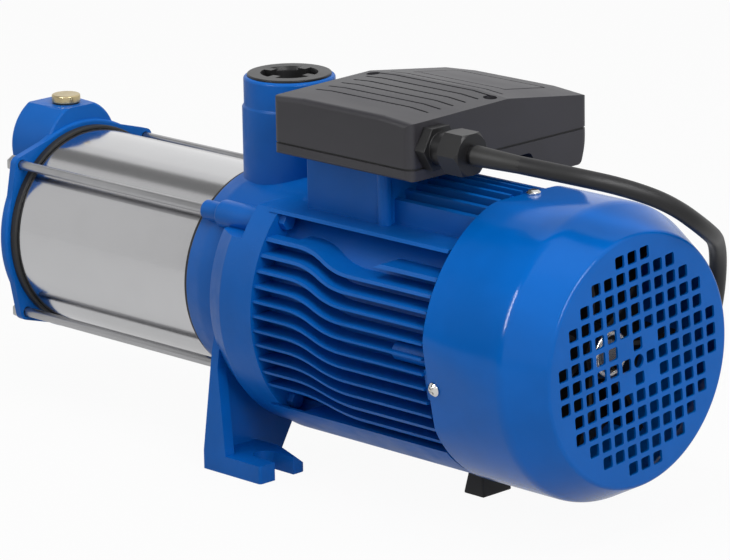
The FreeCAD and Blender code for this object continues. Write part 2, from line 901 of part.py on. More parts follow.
def pedestal():
    """The block that carries the terminal box, with a screw post at each near corner."""
    root_z = shelf_z - shelf_thickness / 2
    main = prism_z([
        (pedestal_start_x, pedestal_near_y, edge_round),
        (pedestal_end_x, pedestal_near_y, edge_round),
        (pedestal_end_x, pedestal_far_y, edge_round),
        (pedestal_start_x, pedestal_far_y, edge_round),
    ], root_z, box_floor_z)
    post_y = pedestal_near_y + edge_round
    post = cylinder_z(root_z, box_floor_z, pedestal_post_radius, pedestal_end_x - edge_round, post_y)
    lip = turned_z([
        (0, box_floor_z - pedestal_lip),
        (pedestal_post_radius, box_floor_z - pedestal_lip, edge_round),
        (pedestal_post_radius, box_floor_z),
        (0, box_floor_z),
    ], pedestal_start_x - edge_round, post_y)
    return joined(main, post, lip)


def shield_bolt_bars(start, end, radius):
    """Bars at the four bolts of the rear end shield."""
    return ring_of(cylinder_x(start, end, radius, 0, lug_pad_centre), 4)


def end_shield():
    """The rear end shield: plate, bearing hub, ribs and three ears that the cover is screwed to."""
    start = housing_rear_x
    back = start + shield_plate
    hub_end = start + bearing_width + wave_washer_thickness + shield_hub_back
    plate = cylinder_x(start, back, shield_radius)
    hub = cylinder_x(start, hub_end, bearing_outer_radius + shield_hub_wall)
    spigot = cylinder_x(start - spigot_length, start, stator_bore_radius - seat_gap)
    rib = prism_y([
        (start, 0),
        (hub_end - 1, 0),
        (hub_end - 1, bearing_outer_radius + shield_hub_wall),
        (back, shield_radius - shield_rib_inset),
        (start, shield_radius - shield_rib_inset),
    ], -shield_rib_thickness / 2, shield_rib_thickness / 2)
    ribs = ring_of(rib, shield_rib_count, 0.0)
    ears = [spun(ear_block(), angle - 90) for angle in screw_angles]
    body = joined(plate, hub, spigot, *ribs, *ears)
    cuts = [
        cylinder_x(start - spigot_length - 1, start, stator_bore_radius - seat_gap - spigot_wall),
        cylinder_x(start - 1, start + bearing_width + wave_washer_thickness, bearing_outer_radius),
        cylinder_x(start, hub_end + 1, fan_shaft_radius + 3 * running_gap),
    ]
    cuts += shield_bolt_bars(start - spigot_length - 1, back + 1, shield_bolt_radius + thread_gap)
    cuts += shield_bolt_bars(start + shield_bolt_seat, start + ear_length + 1, shield_bolt_room)
    cuts += [spun(screw_bar(screw_shank_radius), angle - 90) for angle in screw_angles]
    return body.cut(cuts).removeSplitter()


def ear_block():
    """One ear of the end shield, at the top: its outer face carries the inside of the cover."""
    ear = block(housing_rear_x, housing_rear_x + ear_length, -ear_width / 2, ear_width / 2,
                shield_radius - ear_root, pad_distance + pad_rise)
    return ear.cut(cover_flat(cover_wall))


def cover_flat(inset):
    """All that stands above the flat at the top of the cover, or above the flat's inside."""
    x = cover_rim_x + screw_setback
    low = pad_distance - inset
    return upper_side(V(x, 0, low), V(x, 1, low), V(x + pad_reach, 0, low + pad_rise))


def square_to_flat(shape):
    """A copy of a shape that stands at the top of the cover, leaned until it is square to the flat."""
    copy = shape.copy()
    copy.rotate(V(cover_rim_x + screw_setback, 0, pad_distance), Y_AXIS,
                -math.degrees(math.atan2(pad_rise, pad_reach)))
    return copy


def screw_bar(radius):
    """A bar through the hole of the cover screw at the top of the cover."""
    x = cover_rim_x + screw_setback
    return square_to_flat(cylinder_z(pad_distance - screw_shank_length, pad_distance + cover_wall, radius, x))


def cover_form(inset):
    """The cover's outside, or its inside: a drum, a shoulder, a cone, and three flats that fade rearwards."""
    start = cover_rim_x if inset == 0 else cover_rim_x - 1
    slope = math.atan2(cover_radius - cover_face_radius, cover_cone_length)
    knee_x = cover_face_x - cover_cone_length - inset * math.tan(slope / 2)
    face_radius = cover_face_radius - inset * math.tan((math.pi / 2 - slope) / 2)
    drum = turned_x([
        (start, 0),
        (start, cover_radius - inset),
        (knee_x, cover_radius - inset, cover_shoulder_radius),
        (cover_face_x - inset, face_radius, cover_face_edge - inset / 2),
        (cover_face_x - inset, 0),
    ])
    return drum.cut([spun(cover_flat(inset), angle - 90) for angle in screw_angles])


def fan_cover():
    """The drawn sheet cover with its perforated face."""
    shell = cover_form(0).cut(cover_form(cover_wall))
    size = grille_hole / 2
    front = cover_face_x - 2 * cover_wall
    holes = [cylinder_x(front, cover_face_x + 1, grille_centre_radius)]
    reach = int(math.sqrt(grille_limit))
    for column in range(-reach, reach + 1):
        for row in range(-reach, reach + 1):
            spoke = abs(column) == 1 and abs(row) == 1
            centre = column == 0 and row == 0
            if column * column + row * row > grille_limit or spoke or centre:
                continue
            y = column * grille_pitch
            z = row * grille_pitch
            holes.append(block(front, cover_face_x + 1, y - size, y + size, z - size, z + size))
    cutter = spun(Part.makeCompound(holes), grille_turn)
    screw_holes = [spun(screw_bar(screw_shank_radius + thread_gap), angle - 90) for angle in screw_angles]
    return shell.cut(cutter.Solids).cut(screw_holes)


def cover_screws():
    """Three pan-head screws, square to the cover's flats."""
    x = cover_rim_x + screw_setback
    top = pad_distance + screw_head_height
    screw = turned_z([
        (0, pad_distance - screw_shank_length),
        (screw_shank_radius, pad_distance - screw_shank_length),
        (screw_shank_radius, pad_distance),
        (screw_head_radius, pad_distance),
        (screw_head_radius, top, edge_round),
        (0, top),
    ], x)
    return [spun(square_to_flat(screw), angle - 90) for angle in screw_angles]


def impeller(x):
    """A closed impeller: eye ring, two shrouds, swept blades and a hub. It starts at the stage's front, x."""
    front = x + stage_wall + running_gap
    blades_x = front + shroud_thickness
    rear = blades_x + blade_height
    eye = impeller_eye_radius
    ring = eye + impeller_ring_wall
    front_shroud = turned_x([
        (x - stage_wall - running_gap, eye),
        (x - stage_wall - running_gap, ring),
        (front, ring),
        (front, impeller_radius),
        (blades_x, impeller_radius),
        (blades_x, eye),
    ])
    rear_shroud = turned_x([
        (x + 1, pump_shaft_radius),
        (x + 1, impeller_hub_radius - 2),
        (rear, impeller_hub_radius),
        (rear, impeller_radius),
        (rear + shroud_thickness, impeller_radius),
        (rear + shroud_thickness, impeller_hub_radius),
        (x + stage_pitch / 2, impeller_hub_radius),
        (x + stage_pitch / 2, pump_shaft_radius),
    ])
    blade = swept_blade(blades_x, rear, eye, impeller_radius - seat_gap, blade_sweep)
    return joined(front_shroud, rear_shroud, *ring_of(blade, blade_count))


def diffuser(x):
    """A stage cup: a skirt in the shell and an end wall that carries the return vanes."""
    end = x + stage_pitch
    hole = impeller_eye_radius + impeller_ring_wall + running_gap
    cup = turned_x([
        (x, cup_radius),
        (end, cup_radius),
        (end, hole),
        (end - stage_wall, hole),
        (end - stage_wall, cup_radius - stage_wall),
        (x, cup_radius - stage_wall),
    ])
    vane = swept_blade(end - stage_wall - return_vane_height, end - stage_wall, hole + 4,
                       cup_radius - stage_wall / 2, return_vane_sweep)
    return joined(cup, *ring_of(vane, return_vane_count))


def inlet_plate():
    """The plate in front of the first stage, round the first impeller's eye."""
    hole = impeller_eye_radius + impeller_ring_wall + running_gap
    return tube_x(stack_x - inlet_plate_thickness, stack_x, cup_radius, hole)


def shaft():
    """The one-piece shaft, stepped for the impellers, the seal, two bearings, the rotor and the fan."""
    pump_start = stack_x + 1 - nut_height - 2
    seal_x = stack_end_x - 1
    front = front_bearing_x
    rear = rear_bearing_x
    core_end = core_start_x + core_length
    return turned_x([
        (pump_start, 0),
        (pump_start, pump_shaft_radius, 1.0),
        (seal_x, pump_shaft_radius),
        (seal_x, seal_shaft_radius),
        (front, seal_shaft_radius),
        (front, bearing_bore_radius),
        (front + bearing_width, bearing_bore_radius),
        (front + bearing_width, middle_shaft_radius),
        (core_start_x - rotor_ring_length, middle_shaft_radius),
        (core_start_x - rotor_ring_length, rotor_shaft_radius),
        (core_end + rotor_ring_length, rotor_shaft_radius),
        (core_end + rotor_ring_length, middle_shaft_radius),
        (rear, middle_shaft_radius),
        (rear, bearing_bore_radius),
        (rear + bearing_width, bearing_bore_radius),
        (rear + bearing_width, fan_shaft_radius),
        (shaft_end_x, fan_shaft_radius, 1.0),
        (shaft_end_x, 0),
    ])


def shaft_spacers():
    """Sleeves between the impeller hubs, and one from the last hub to the seal."""
    sleeves = []
    for index in range(stage_count - 1):
        start = stack_x + index * stage_pitch + stage_pitch / 2
        sleeves.append(tube_x(start, start + stage_pitch / 2 + 1, spacer_radius, pump_shaft_radius))
    last = stack_x + (stage_count - 1) * stage_pitch + stage_pitch / 2
    sleeves.append(tube_x(last, stack_end_x - 1, spacer_radius, pump_shaft_radius))
    return sleeves


def bearing(x):
    """A ball bearing at x: outer ring, inner ring and balls."""
    middle = x + bearing_width / 2
    groove = Part.makeTorus(ball_circle_radius, ball_radius + ball_gap, V(middle, 0, 0), X_AXIS)
    outer = tube_x(x, x + bearing_width, bearing_outer_radius, bearing_outer_radius - bearing_ring_wall)
    inner = tube_x(x, x + bearing_width, bearing_bore_radius + bearing_ring_wall, bearing_bore_radius)
    ball = Part.makeSphere(ball_radius, V(middle, 0, ball_circle_radius))
    return outer.cut(groove), inner.cut(groove), ring_of(ball, ball_count)


def rotor_core():
    """The laminated rotor core with its two cast end rings."""
    radius = stator_inner_radius - air_gap
    core_end = core_start_x + core_length
    core = tube_x(core_start_x, core_end, radius, rotor_shaft_radius)
    front = tube_x(core_start_x - rotor_ring_length, core_start_x, radius - 2, rotor_shaft_radius + 6)
    rear = tube_x(core_end, core_end + rotor_ring_length, radius - 2, rotor_shaft_radius + 6)
    return joined(core, front, rear)


def slot_bar(width, mouth, depth, length_from, length_to):
    """A bar that fills one stator slot."""
    return block(length_from, length_to, -width / 2, width / 2, stator_inner_radius + mouth,
                 stator_inner_radius + mouth + depth)


def stator_core():
    """The slotted stator core in the housing's bore."""
    core = tube_x(core_start_x, core_start_x + core_length, stator_bore_radius, stator_inner_radius)
    slot = slot_bar(slot_width, slot_mouth, slot_depth, core_start_x - 1, core_start_x + core_length + 1)
    return core.cut(ring_of(slot, slot_count))


def stator_windings():
    """The coils: bars in the slots and a round bundle at each end."""
    core_end = core_start_x + core_length
    bar = slot_bar(slot_width - 2 * seat_gap, slot_mouth + seat_gap, slot_depth - 2 * seat_gap,
                   core_start_x - 2, core_end + 2)
    inner = stator_inner_radius + slot_mouth / 2
    bundles = []
    for end_x, direction in ((core_start_x, -1), (core_end, 1)):
        near = end_x + direction
        far = end_x + direction * coil_overhang
        bundles.append(turned_x([
            (near, inner),
            (near, coil_outer_radius),
            (far, coil_outer_radius),
            (far, inner),
        ]))
    return joined(bundles[0], bundles[1], *ring_of(bar, slot_count))


def fan():
    """The plastic fan: hub, back plate and straight radial blades."""
    end = fan_start_x + fan_width
    hub = tube_x(fan_start_x, fan_start_x + fan_hub_length, fan_hub_radius, fan_shaft_radius)
    plate = tube_x(fan_start_x, fan_start_x + fan_plate, fan_radius - 2, fan_shaft_radius)
    blade = prism_y([
        (fan_start_x, fan_hub_radius - 1),
        (end - fan_blade_slant, fan_hub_radius - 1),
        (end, fan_radius / 2, fan_blade_round),
        (end - fan_blade_slant, fan_radius, edge_round),
        (fan_start_x, fan_radius),
    ], -fan_blade_thickness / 2, fan_blade_thickness / 2)
    return joined(hub, plate, *ring_of(blade, fan_blade_count, fan_turn))


def box_plan(inset):
    """The terminal box seen from above, as a tall block with round corners."""
    radius = box_corner_radius - inset
    return prism_z([
        (box_start_x + inset, box_near_y + inset, radius),
        (box_end_x - inset, box_near_y + inset, radius),
        (box_end_x - inset, box_far_y - inset, radius),
        (box_start_x + inset, box_far_y - inset, radius),
    ], 0, 2 * box_seam_z)


def base_form(inset, top):
    """The lower part of the box, with a deep trough on the far side for the capacitor."""
    profile = [
        (box_near_y + inset, top),
        (box_near_y + inset, box_floor_z + inset, box_floor_round),
        (deep_start_y + inset, box_floor_z + inset, trough_round),
        (deep_inner_y + inset, deep_floor_z + inset, trough_round),
        (deep_outer_y - inset, deep_floor_z + inset, trough_round),
        (box_far_y - inset, box_seam_z),
        (box_far_y - inset, top),
    ]
    return prism_x(profile, box_start_x, box_end_x).common(box_plan(inset))


def lid_form(inset):
    """The lid: a near half almost level, a far half that falls away, and the profile sinks at both ends."""
    base_z = box_seam_z + box_gasket - (1 if inset else 0)

    def section(x, drop):
        top = -inset - drop
        return outline([
            (box_near_y + inset, base_z),
            (box_near_y + inset, lid_near_z + top, lid_edge_round),
            (lid_ridge_y, lid_ridge_z + top, lid_ridge_round),
            (box_far_y - inset, lid_far_z + top, lid_ridge_round),
            (box_far_y - inset, base_z),
        ], lambda y, z: V(x, y, z))

    stations = [
        section(box_start_x, lid_front_drop),
        section(box_start_x + lid_end_slope, 0),
        section(box_end_x - lid_end_slope, 0),
        section(box_end_x, lid_end_drop),
    ]
    return Part.makeLoft(stations, True, True).common(box_plan(inset))


def lid_screw_places():
    """Where the two lid screws stand."""
    return ((box_start_x + lid_screw_inset, lid_screw_y), (box_end_x - lid_screw_inset, lid_screw_y))


def lid_grooves():
    """Grooves along the near half of the lid that follow its end slopes."""
    reach = lid_ridge_z + 5
    grooves = []
    for index in range(groove_count):
        y = groove_first_y + index * groove_pitch
        bar = block(box_start_x + groove_inset, box_end_x - groove_inset, y - groove_width / 2,
                    y + groove_width / 2, box_seam_z, reach)
        grooves.append(bar)
    frame = block(plate_start_x, plate_end_x, plate_near_y, plate_far_y, box_seam_z, reach)
    inner = block(plate_start_x + plate_line, plate_end_x - plate_line, plate_near_y + plate_line,
                  plate_far_y - plate_line, box_seam_z, reach)
    grooves.append(frame.cut(inner))
    skin = lid_form(0).cut(lid_form(0).translated(V(0, 0, -groove_depth)))
    return [groove.common(skin) for groove in grooves]


def terminal_box_lid():
    """The hood of the terminal box, with its grooves, screw wells and gland hole."""
    outside = lid_form(0)
    shell = outside.cut(lid_form(box_wall))
    wells = []
    holes = []
    for x, y in lid_screw_places():
        seat = lid_ridge_z - lid_end_drop - lid_screw_sink - lid_screw_head_height
        wells.append(cylinder_z(seat - box_wall, 2 * box_seam_z, post_radius + 0.5, x, y).common(outside))
        holes.append(cylinder_z(seat, 2 * box_seam_z, lid_screw_head_radius + seat_gap, x, y))
        holes.append(cylinder_z(seat - box_wall - 1, seat + 1, screw_shank_radius + thread_gap, x, y))
    gland_hole = cylinder_x(box_end_x - 2 * box_wall, box_end_x + 1, gland_neck_radius + thread_gap,
                            gland_y, gland_z)
    return joined(shell, *wells).cut(holes + [gland_hole] + lid_grooves())


def terminal_box_base():
    """The tray of the terminal box, screwed to the pedestal, with two posts for the lid screws."""
    tray = base_form(0, box_seam_z).cut(base_form(box_wall, box_seam_z + 1))
    seat = lid_ridge_z - lid_end_drop - lid_screw_sink - lid_screw_head_height
    posts = []
    holes = [cylinder_z(box_floor_z - 1, box_floor_z + 2 * box_wall, wire_hole_radius,
                        (pedestal_start_x + pedestal_end_x) / 2)]
    for x, y in lid_screw_places():
        posts.append(cylinder_z(box_floor_z + 1, seat - box_wall, post_radius, x, y))
        holes.append(cylinder_z(seat - lid_screw_length, seat, screw_shank_radius, x, y))
    return joined(tray, *posts).cut(holes)


def terminal_box_gasket():
    """The flat gasket in the seam."""
    outer = box_plan(box_gasket_inset)
    inner = box_plan(box_wall)
    slab = block(box_start_x, box_end_x, box_near_y, box_far_y, box_seam_z, box_seam_z + box_gasket)
    return outer.common(slab).cut(inner)


def lid_screws():
    """Two screws at the bottom of the lid's wells."""
    seat = lid_ridge_z - lid_end_drop - lid_screw_sink - lid_screw_head_height
    screws = []
    for x, y in lid_screw_places():
        screws.append(turned_z([
            (0, seat - lid_screw_length),
            (screw_shank_radius, seat - lid_screw_length),
            (screw_shank_radius, seat),
            (lid_screw_head_radius, seat),
            (lid_screw_head_radius, seat + lid_screw_head_height, small_head_round),
            (0, seat + lid_screw_head_height),
        ], x, y))
    return screws


def terminal_block():
    """The terminal strip on the box's floor: a notched insulating bar."""
    middle = (box_start_x + box_end_x) / 2 + block_width
    low = box_floor_z + box_wall
    bar = block(middle - block_width / 2, middle + block_width / 2, -block_length / 2 - block_width,
                block_length / 2 - block_width, low, low + block_height)
    notches = []
    for index in range(1, block_sections):
        y = -block_length / 2 - block_width + index * block_length / block_sections
        notches.append(block(middle - block_width, middle + block_width, y - block_notch / 2,
                             y + block_notch / 2, low + block_height / 2, low + block_height + 1))
    return bar.cut(notches)


def capacitor():
    """The run capacitor in the deep trough."""
    middle = (box_start_x + box_end_x) / 2
    seat_y = (deep_inner_y + deep_outer_y) / 2
    seat_z = deep_floor_z + box_wall + seat_gap + capacitor_radius
    return turned_x([
        (middle - capacitor_length / 2, 0),
        (middle - capacitor_length / 2, capacitor_radius, edge_round),
        (middle + capacitor_length / 2, capacitor_radius, edge_round),
        (middle + capacitor_length / 2, 0),
    ], seat_y, seat_z)


def gland_body():
    """The gland's hexagonal flange, its neck, and the thread through the box wall."""
    flange_end = box_end_x + gland_flange
    flange = hexagon_x(box_end_x, flange_end, gland_flats, gland_y, gland_z)
    neck = cylinder_x(flange_end, flange_end + gland_neck_length, gland_neck_radius, gland_y, gland_z)
    thread = cylinder_x(box_end_x - gland_thread_length, box_end_x, gland_neck_radius, gland_y, gland_z)
    bore = cylinder_x(box_end_x - gland_thread_length - 1, flange_end + gland_neck_length + 1,
                      cable_diameter / 2 + 1, gland_y, gland_z)
    return joined(flange, neck, thread).cut(bore)


def gland_nut():
    """The gland's nut, with both ends turned to a chamfer and a bore that grips the cable."""
    start = box_end_x + gland_flange + gland_neck_length
    corner = gland_nut_flats / math.sqrt(3)
    barrel = turned_x([
        (start, 0),
        (start, gland_nut_flats / 2),
        (start + 1, corner),
        (gland_mouth_x - 1, corner),
        (gland_mouth_x, gland_nut_flats / 2),
        (gland_mouth_x, 0),
    ], gland_y, gland_z)
    nut = hexagon_x(start, gland_mouth_x, gland_nut_flats, gland_y, gland_z).common(barrel)
    return nut.cut(cylinder_x(start - 1, gland_mouth_x + 1, cable_diameter / 2, gland_y, gland_z))


def rounded_path(points):
    """A wire of straight runs and tangent arcs through points. Prints the arcs' radii."""
    edges = []
    radii = []
    last = points[0]
    for before, here, after in zip(points, points[1:], points[2:]):
        back = before - here
        ahead = after - here
        half = back.getAngle(ahead) / 2
        reach = cable_bend_share * min(back.Length, ahead.Length)
        radius = reach * math.tan(half)
        back.normalize()
        ahead.normalize()
        middle = back + ahead
        middle.normalize()
        enter = here + back * reach
        leave = here + ahead * reach
        crown = here + middle * (radius / math.sin(half) - radius)
        edges.append(Part.LineSegment(last, enter).toShape())
        edges.append(Part.Arc(enter, crown, leave).toShape())
        radii.append(round(radius, 1))
        last = leave
    edges.append(Part.LineSegment(last, points[-1]).toShape())
    print("cable bend radii", radii)
    return Part.Wire(edges)


def cable_points():
    """The cable's route about the shaft axis, from inside the gland to the coil."""
    lift = V(0, 0, -shaft_height)
    start = V(box_end_x, gland_y, gland_z)
    coil_touch = V(coil_x, coil_y - coil_turn_radius, floor_z + cable_diameter / 2)
    return [start] + [V(*point) + lift for point in cable_route] + [coil_touch]


def cable_tube(points):
    """A stretch of cable through points, as a round tube that starts along X."""
    path = rounded_path(points)
    section = Part.Wire(Part.makeCircle(cable_diameter / 2, points[0], X_AXIS))
    tube = path.makePipeShell([section], True, True, 2)
    volume = path.Length * math.pi * cable_diameter ** 2 / 4
    print("cable tube length", round(path.Length, 1), "volume over section times length",
          round(tube.Volume / volume, 4))
    return tube


def cable_coil():
    """The wound rest of the cable: a flat ring of turns on the floor, and its end that climbs to the plug."""
    half = coil_rings * cable_diameter / 2
    height = coil_layers * cable_diameter
    turn = V(coil_x, coil_y - coil_turn_radius, floor_z + height / 2)
    tail = V(plug_tail_x, plug_y, floor_z + plug_body_radius)
    knee = V((tail.x + turn.x) / 2, tail.y, tail.z)
    turns = turned_z([
        (coil_turn_radius - half, floor_z, cable_diameter / 2),
        (coil_turn_radius + half, floor_z, cable_diameter / 2),
        (coil_turn_radius + half, floor_z + height, cable_diameter / 2),
        (coil_turn_radius - half, floor_z + height, cable_diameter / 2),
    ], coil_x, coil_y)
    return joined(turns, cable_tube([tail, knee, turn]))


def mains_plug():
    """A two-pin plug with a tapered tail, lying beside the coil."""
    z = floor_z + plug_body_radius
    body = turned_x([
        (plug_x, 0),
        (plug_x, plug_body_radius, plug_face_round),
        (plug_x + plug_body_length, plug_body_radius, plug_grip_round),
        (plug_x + plug_body_length + plug_neck_length, plug_body_radius / 2),
        (plug_tail_x, cable_diameter / 2 + 1),
        (plug_tail_x, 0),
    ], plug_y, z)
    pins = [cylinder_x(plug_x - plug_pin_length, plug_x, plug_pin_radius, plug_y + side * plug_pin_spread, z)
            for side in (-1, 1)]
    return joined(body, *pins)


def rear_foot():
    """The rubber block under the rear of the motor, wider at the floor."""
    def rectangle(length, width, z):
        corners = [(-1, -1), (1, -1), (1, 1), (-1, 1)]
        points = [V(rear_foot_x + u * length / 2, v * width / 2, z) for u, v in corners]
        return Part.makePolygon(points + [points[0]])
    bottom = rectangle(rear_foot_length, rear_foot_width, floor_z)
    top = rectangle(rear_foot_top_length, rear_foot_top_width, -belly_radius + 2)
    form = Part.makeLoft([bottom, top], True, True)
    return form.cut(cylinder_x(bracket_rear_x, housing_rear_x, belly_radius))


def flange_bolts():
    """Four bolts that hold the motor housing to the bracket."""
    head_x = bracket_rear_x + housing_flange_length
    bolts = []
    shanks = flange_bolt_bars(head_x - flange_bolt_length, head_x, flange_bolt_radius)
    for shank in shanks:
        y = shank.CenterOfMass.y
        z = shank.CenterOfMass.z
        bolts.append(joined(shank, hexagon_x(head_x, head_x + flange_bolt_head, flange_bolt_flats, y, z)))
    return bolts


def end_shield_bolts():
    """Four bolts that hold the end shield to the housing."""
    seat = housing_rear_x + shield_bolt_seat
    bolt = joined(cylinder_x(seat - shield_bolt_length, seat, shield_bolt_radius, 0, lug_pad_centre),
                  hexagon_x(seat, seat + shield_bolt_head, shield_bolt_flats, 0, lug_pad_centre))
    return ring_of(bolt, 4)


def tie_rods():
    """Four rods that clamp the shell between the head and the bracket."""
    start = lug_front_x - rod_washer_thickness - rod_nut_height - rod_thread_stand
    end = bracket_front_x + rod_collar_length + rod_boss_length * rod_thread_share
    return four_rods(lambda y, z: cylinder_x(start, end, tie_rod_radius, y, z))


def tie_rod_nuts():
    """A nut on each rod in front of the head."""
    end = lug_front_x - rod_washer_thickness
    return four_rods(lambda y, z: hexagon_x(end - rod_nut_height, end, rod_nut_flats, y, z).cut(
        cylinder_x(end - rod_nut_height - 1, end + 1, tie_rod_radius, y, z)))


def tie_rod_washers():
    """A washer under each nut."""
    start = lug_front_x - rod_washer_thickness
    return four_rods(lambda y, z: tube_x(start, lug_front_x, rod_washer_radius, tie_rod_radius, y, z))


def priming_plug():
    """The brass filler plug on the boss's flat. Its shank stops short of the suction bore."""
    seat = boss_pad_z + plug_washer_thickness
    shank_end = boss_z + suction_bore_radius + filler_shank_setback
    return turned_z([
        (0, shank_end),
        (filler_shank_radius, shank_end),
        (filler_shank_radius, seat),
        (filler_head_radius, seat),
        (filler_head_radius, seat + filler_head_height, small_head_round),
        (0, seat + filler_head_height),
    ], filler_x)


def priming_washer():
    """The sealing ring under the filler plug."""
    outer = cylinder_z(boss_pad_z, boss_pad_z + plug_washer_thickness,
                       filler_head_radius + plug_washer_overhang, filler_x)
    return outer.cut(cylinder_z(boss_pad_z - 1, boss_pad_z + 2, filler_shank_radius, filler_x))


def drain_plug():
    """The brass drain plug at the foot of the head."""
    seat = head_front_x - drain_pad_height - plug_washer_thickness
    head = hexagon_x(seat - drain_head_height, seat, drain_head_flats, 0, drain_z)
    return joined(head, cylinder_x(seat, seat + drain_shank_length, drain_shank_radius, 0, drain_z))


def drain_washer():
    """The sealing ring under the drain plug."""
    seat = head_front_x - drain_pad_height
    return tube_x(seat - plug_washer_thickness, seat, drain_pad_radius - 1, drain_shank_radius, 0, drain_z)


def discharge_plug():
    """The plastic shipping plug in the discharge port, with inward tabs to turn it by."""
    top = port_top_z + plug_flange_thickness
    outer = port_bore_radius - thread_gap
    inner = outer - plug_wall
    floor = port_top_z - plug_length
    cup = turned_z([
        (0, floor),
        (outer, floor, 1.0),
        (outer, port_top_z),
        (plug_flange_radius, port_top_z),
        (plug_flange_radius, top, 0.5),
        (plug_opening_radius, top),
        (inner, port_top_z - port_chamfer),
        (inner, floor + plug_floor),
        (0, floor + plug_floor),
    ], port_x)
    tab = block(port_x + plug_opening_radius - plug_tab_reach, port_x + plug_opening_radius + 1,
                -plug_tab_width / 2, plug_tab_width / 2, floor + plug_floor - 0.5, top)
    tabs = []
    for index in range(plug_tab_count):
        turned = tab.copy()
        turned.rotate(V(port_x, 0, 0), Z_AXIS, 360.0 * index / plug_tab_count + plug_tab_turn)
        tabs.append(turned)
    limit = turned_z([(0, floor), (outer - 0.5, floor), (plug_opening_radius + 0.5, top), (0, top)], port_x)
    return joined(cup, *[tab.common(limit) for tab in tabs])


def build():
    """Write every node."""
    os.makedirs("parts", exist_ok=True)
    write("suction_head", suction_head())
    write("suction_gasket", gasket(head_rear_x, head_gasket_seat, head_gasket_band, 1))
    write("bracket_gasket", gasket(bracket_front_x, bracket_gasket_seat, bracket_gasket_band, -1))
    write("pump_shell", tube_x(shell_start_x, shell_end_x, shell_radius, shell_radius - shell_wall))
    write("bracket", bracket())
    write("tie_rods", *tie_rods())
    write("tie_rod_nuts", *tie_rod_nuts())
    write("tie_rod_washers", *tie_rod_washers())
    write("priming_plug", priming_plug())
    write("priming_washer", priming_washer())
    write("drain_plug", drain_plug())
    write("drain_washer", drain_washer())
    write("discharge_plug", discharge_plug())
    write("inlet_plate", inlet_plate())
    for index in range(stage_count):
        x = stack_x + index * stage_pitch
        write("impeller_" + str(index + 1), impeller(x))
        write("diffuser_" + str(index + 1), diffuser(x))
    write("impeller_nut", hexagon_x(stack_x + 1 - nut_height, stack_x + 1, nut_flats).cut(
        cylinder_x(stack_x - 2 * nut_height, stack_x + nut_height, pump_shaft_radius)))
    write("shaft_spacers", *shaft_spacers())
    write("shaft", shaft())
    seal_x = chamber_floor_x
    write("seal_seat", tube_x(seal_x, seal_x + seal_seat_length, seal_seat_radius,
                              seal_shaft_radius + running_gap))
    write("seal_head", tube_x(seal_x - seal_face_gap - seal_head_length, seal_x - seal_face_gap,
                              seal_head_radius, seal_shaft_radius))
    write("slinger", tube_x(slinger_x, slinger_x + slinger_thickness, slinger_radius, seal_shaft_radius))
    for name, x in (("front_bearing", front_bearing_x), ("rear_bearing", rear_bearing_x)):
        outer, inner, balls = bearing(x)
        write(name + "_outer", outer)
        write(name + "_inner", inner)
        write(name + "_balls", *balls)
    write("rotor_core", rotor_core())
    write("stator_core", stator_core())
    write("stator_windings", stator_windings())
    write("motor_housing", motor_housing())
    write("flange_bolts", *flange_bolts())
    write("end_shield", end_shield())
    write("end_shield_bolts", *end_shield_bolts())
    washer_x = rear_bearing_x + bearing_width
    write("wave_washer", tube_x(washer_x, washer_x + wave_washer_thickness, bearing_outer_radius - 0.5,
                                bearing_outer_radius - bearing_ring_wall - 1))
    write("fan", fan())
    clamp_x = fan_start_x + fan_hub_length
    write("fan_clamp", tube_x(clamp_x, clamp_x + clamp_length, clamp_radius, fan_shaft_radius))
    write("fan_cover", fan_cover())
    write("cover_screws", *cover_screws())
    write("rear_foot", rear_foot())
    write("terminal_box_base", terminal_box_base())
    write("terminal_box_gasket", terminal_box_gasket())
    write("terminal_box_lid", terminal_box_lid())
    write("lid_screws", *lid_screws())
    write("terminal_block", terminal_block())
    write("capacitor", capacitor())
    write("gland_body", gland_body())
    write("gland_nut", gland_nut())
    write("mains_cable", cable_tube(cable_points()))
    write("cable_coil", cable_coil())
    write("mains_plug", mains_plug())


build()
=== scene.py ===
"""A horizontal multistage pump set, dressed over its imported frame.

Lengths in the classes are millimetres, as on a drawing. Meshes are in metres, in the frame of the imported
model: +X along the shaft to the fan end, +Z up, the floor at zero.
"""
import json
import logging
import math
from dataclasses import dataclass
from enum import Enum
from typing import Iterable, Sequence

import bmesh
import bpy
from mathutils import Matrix, Vector

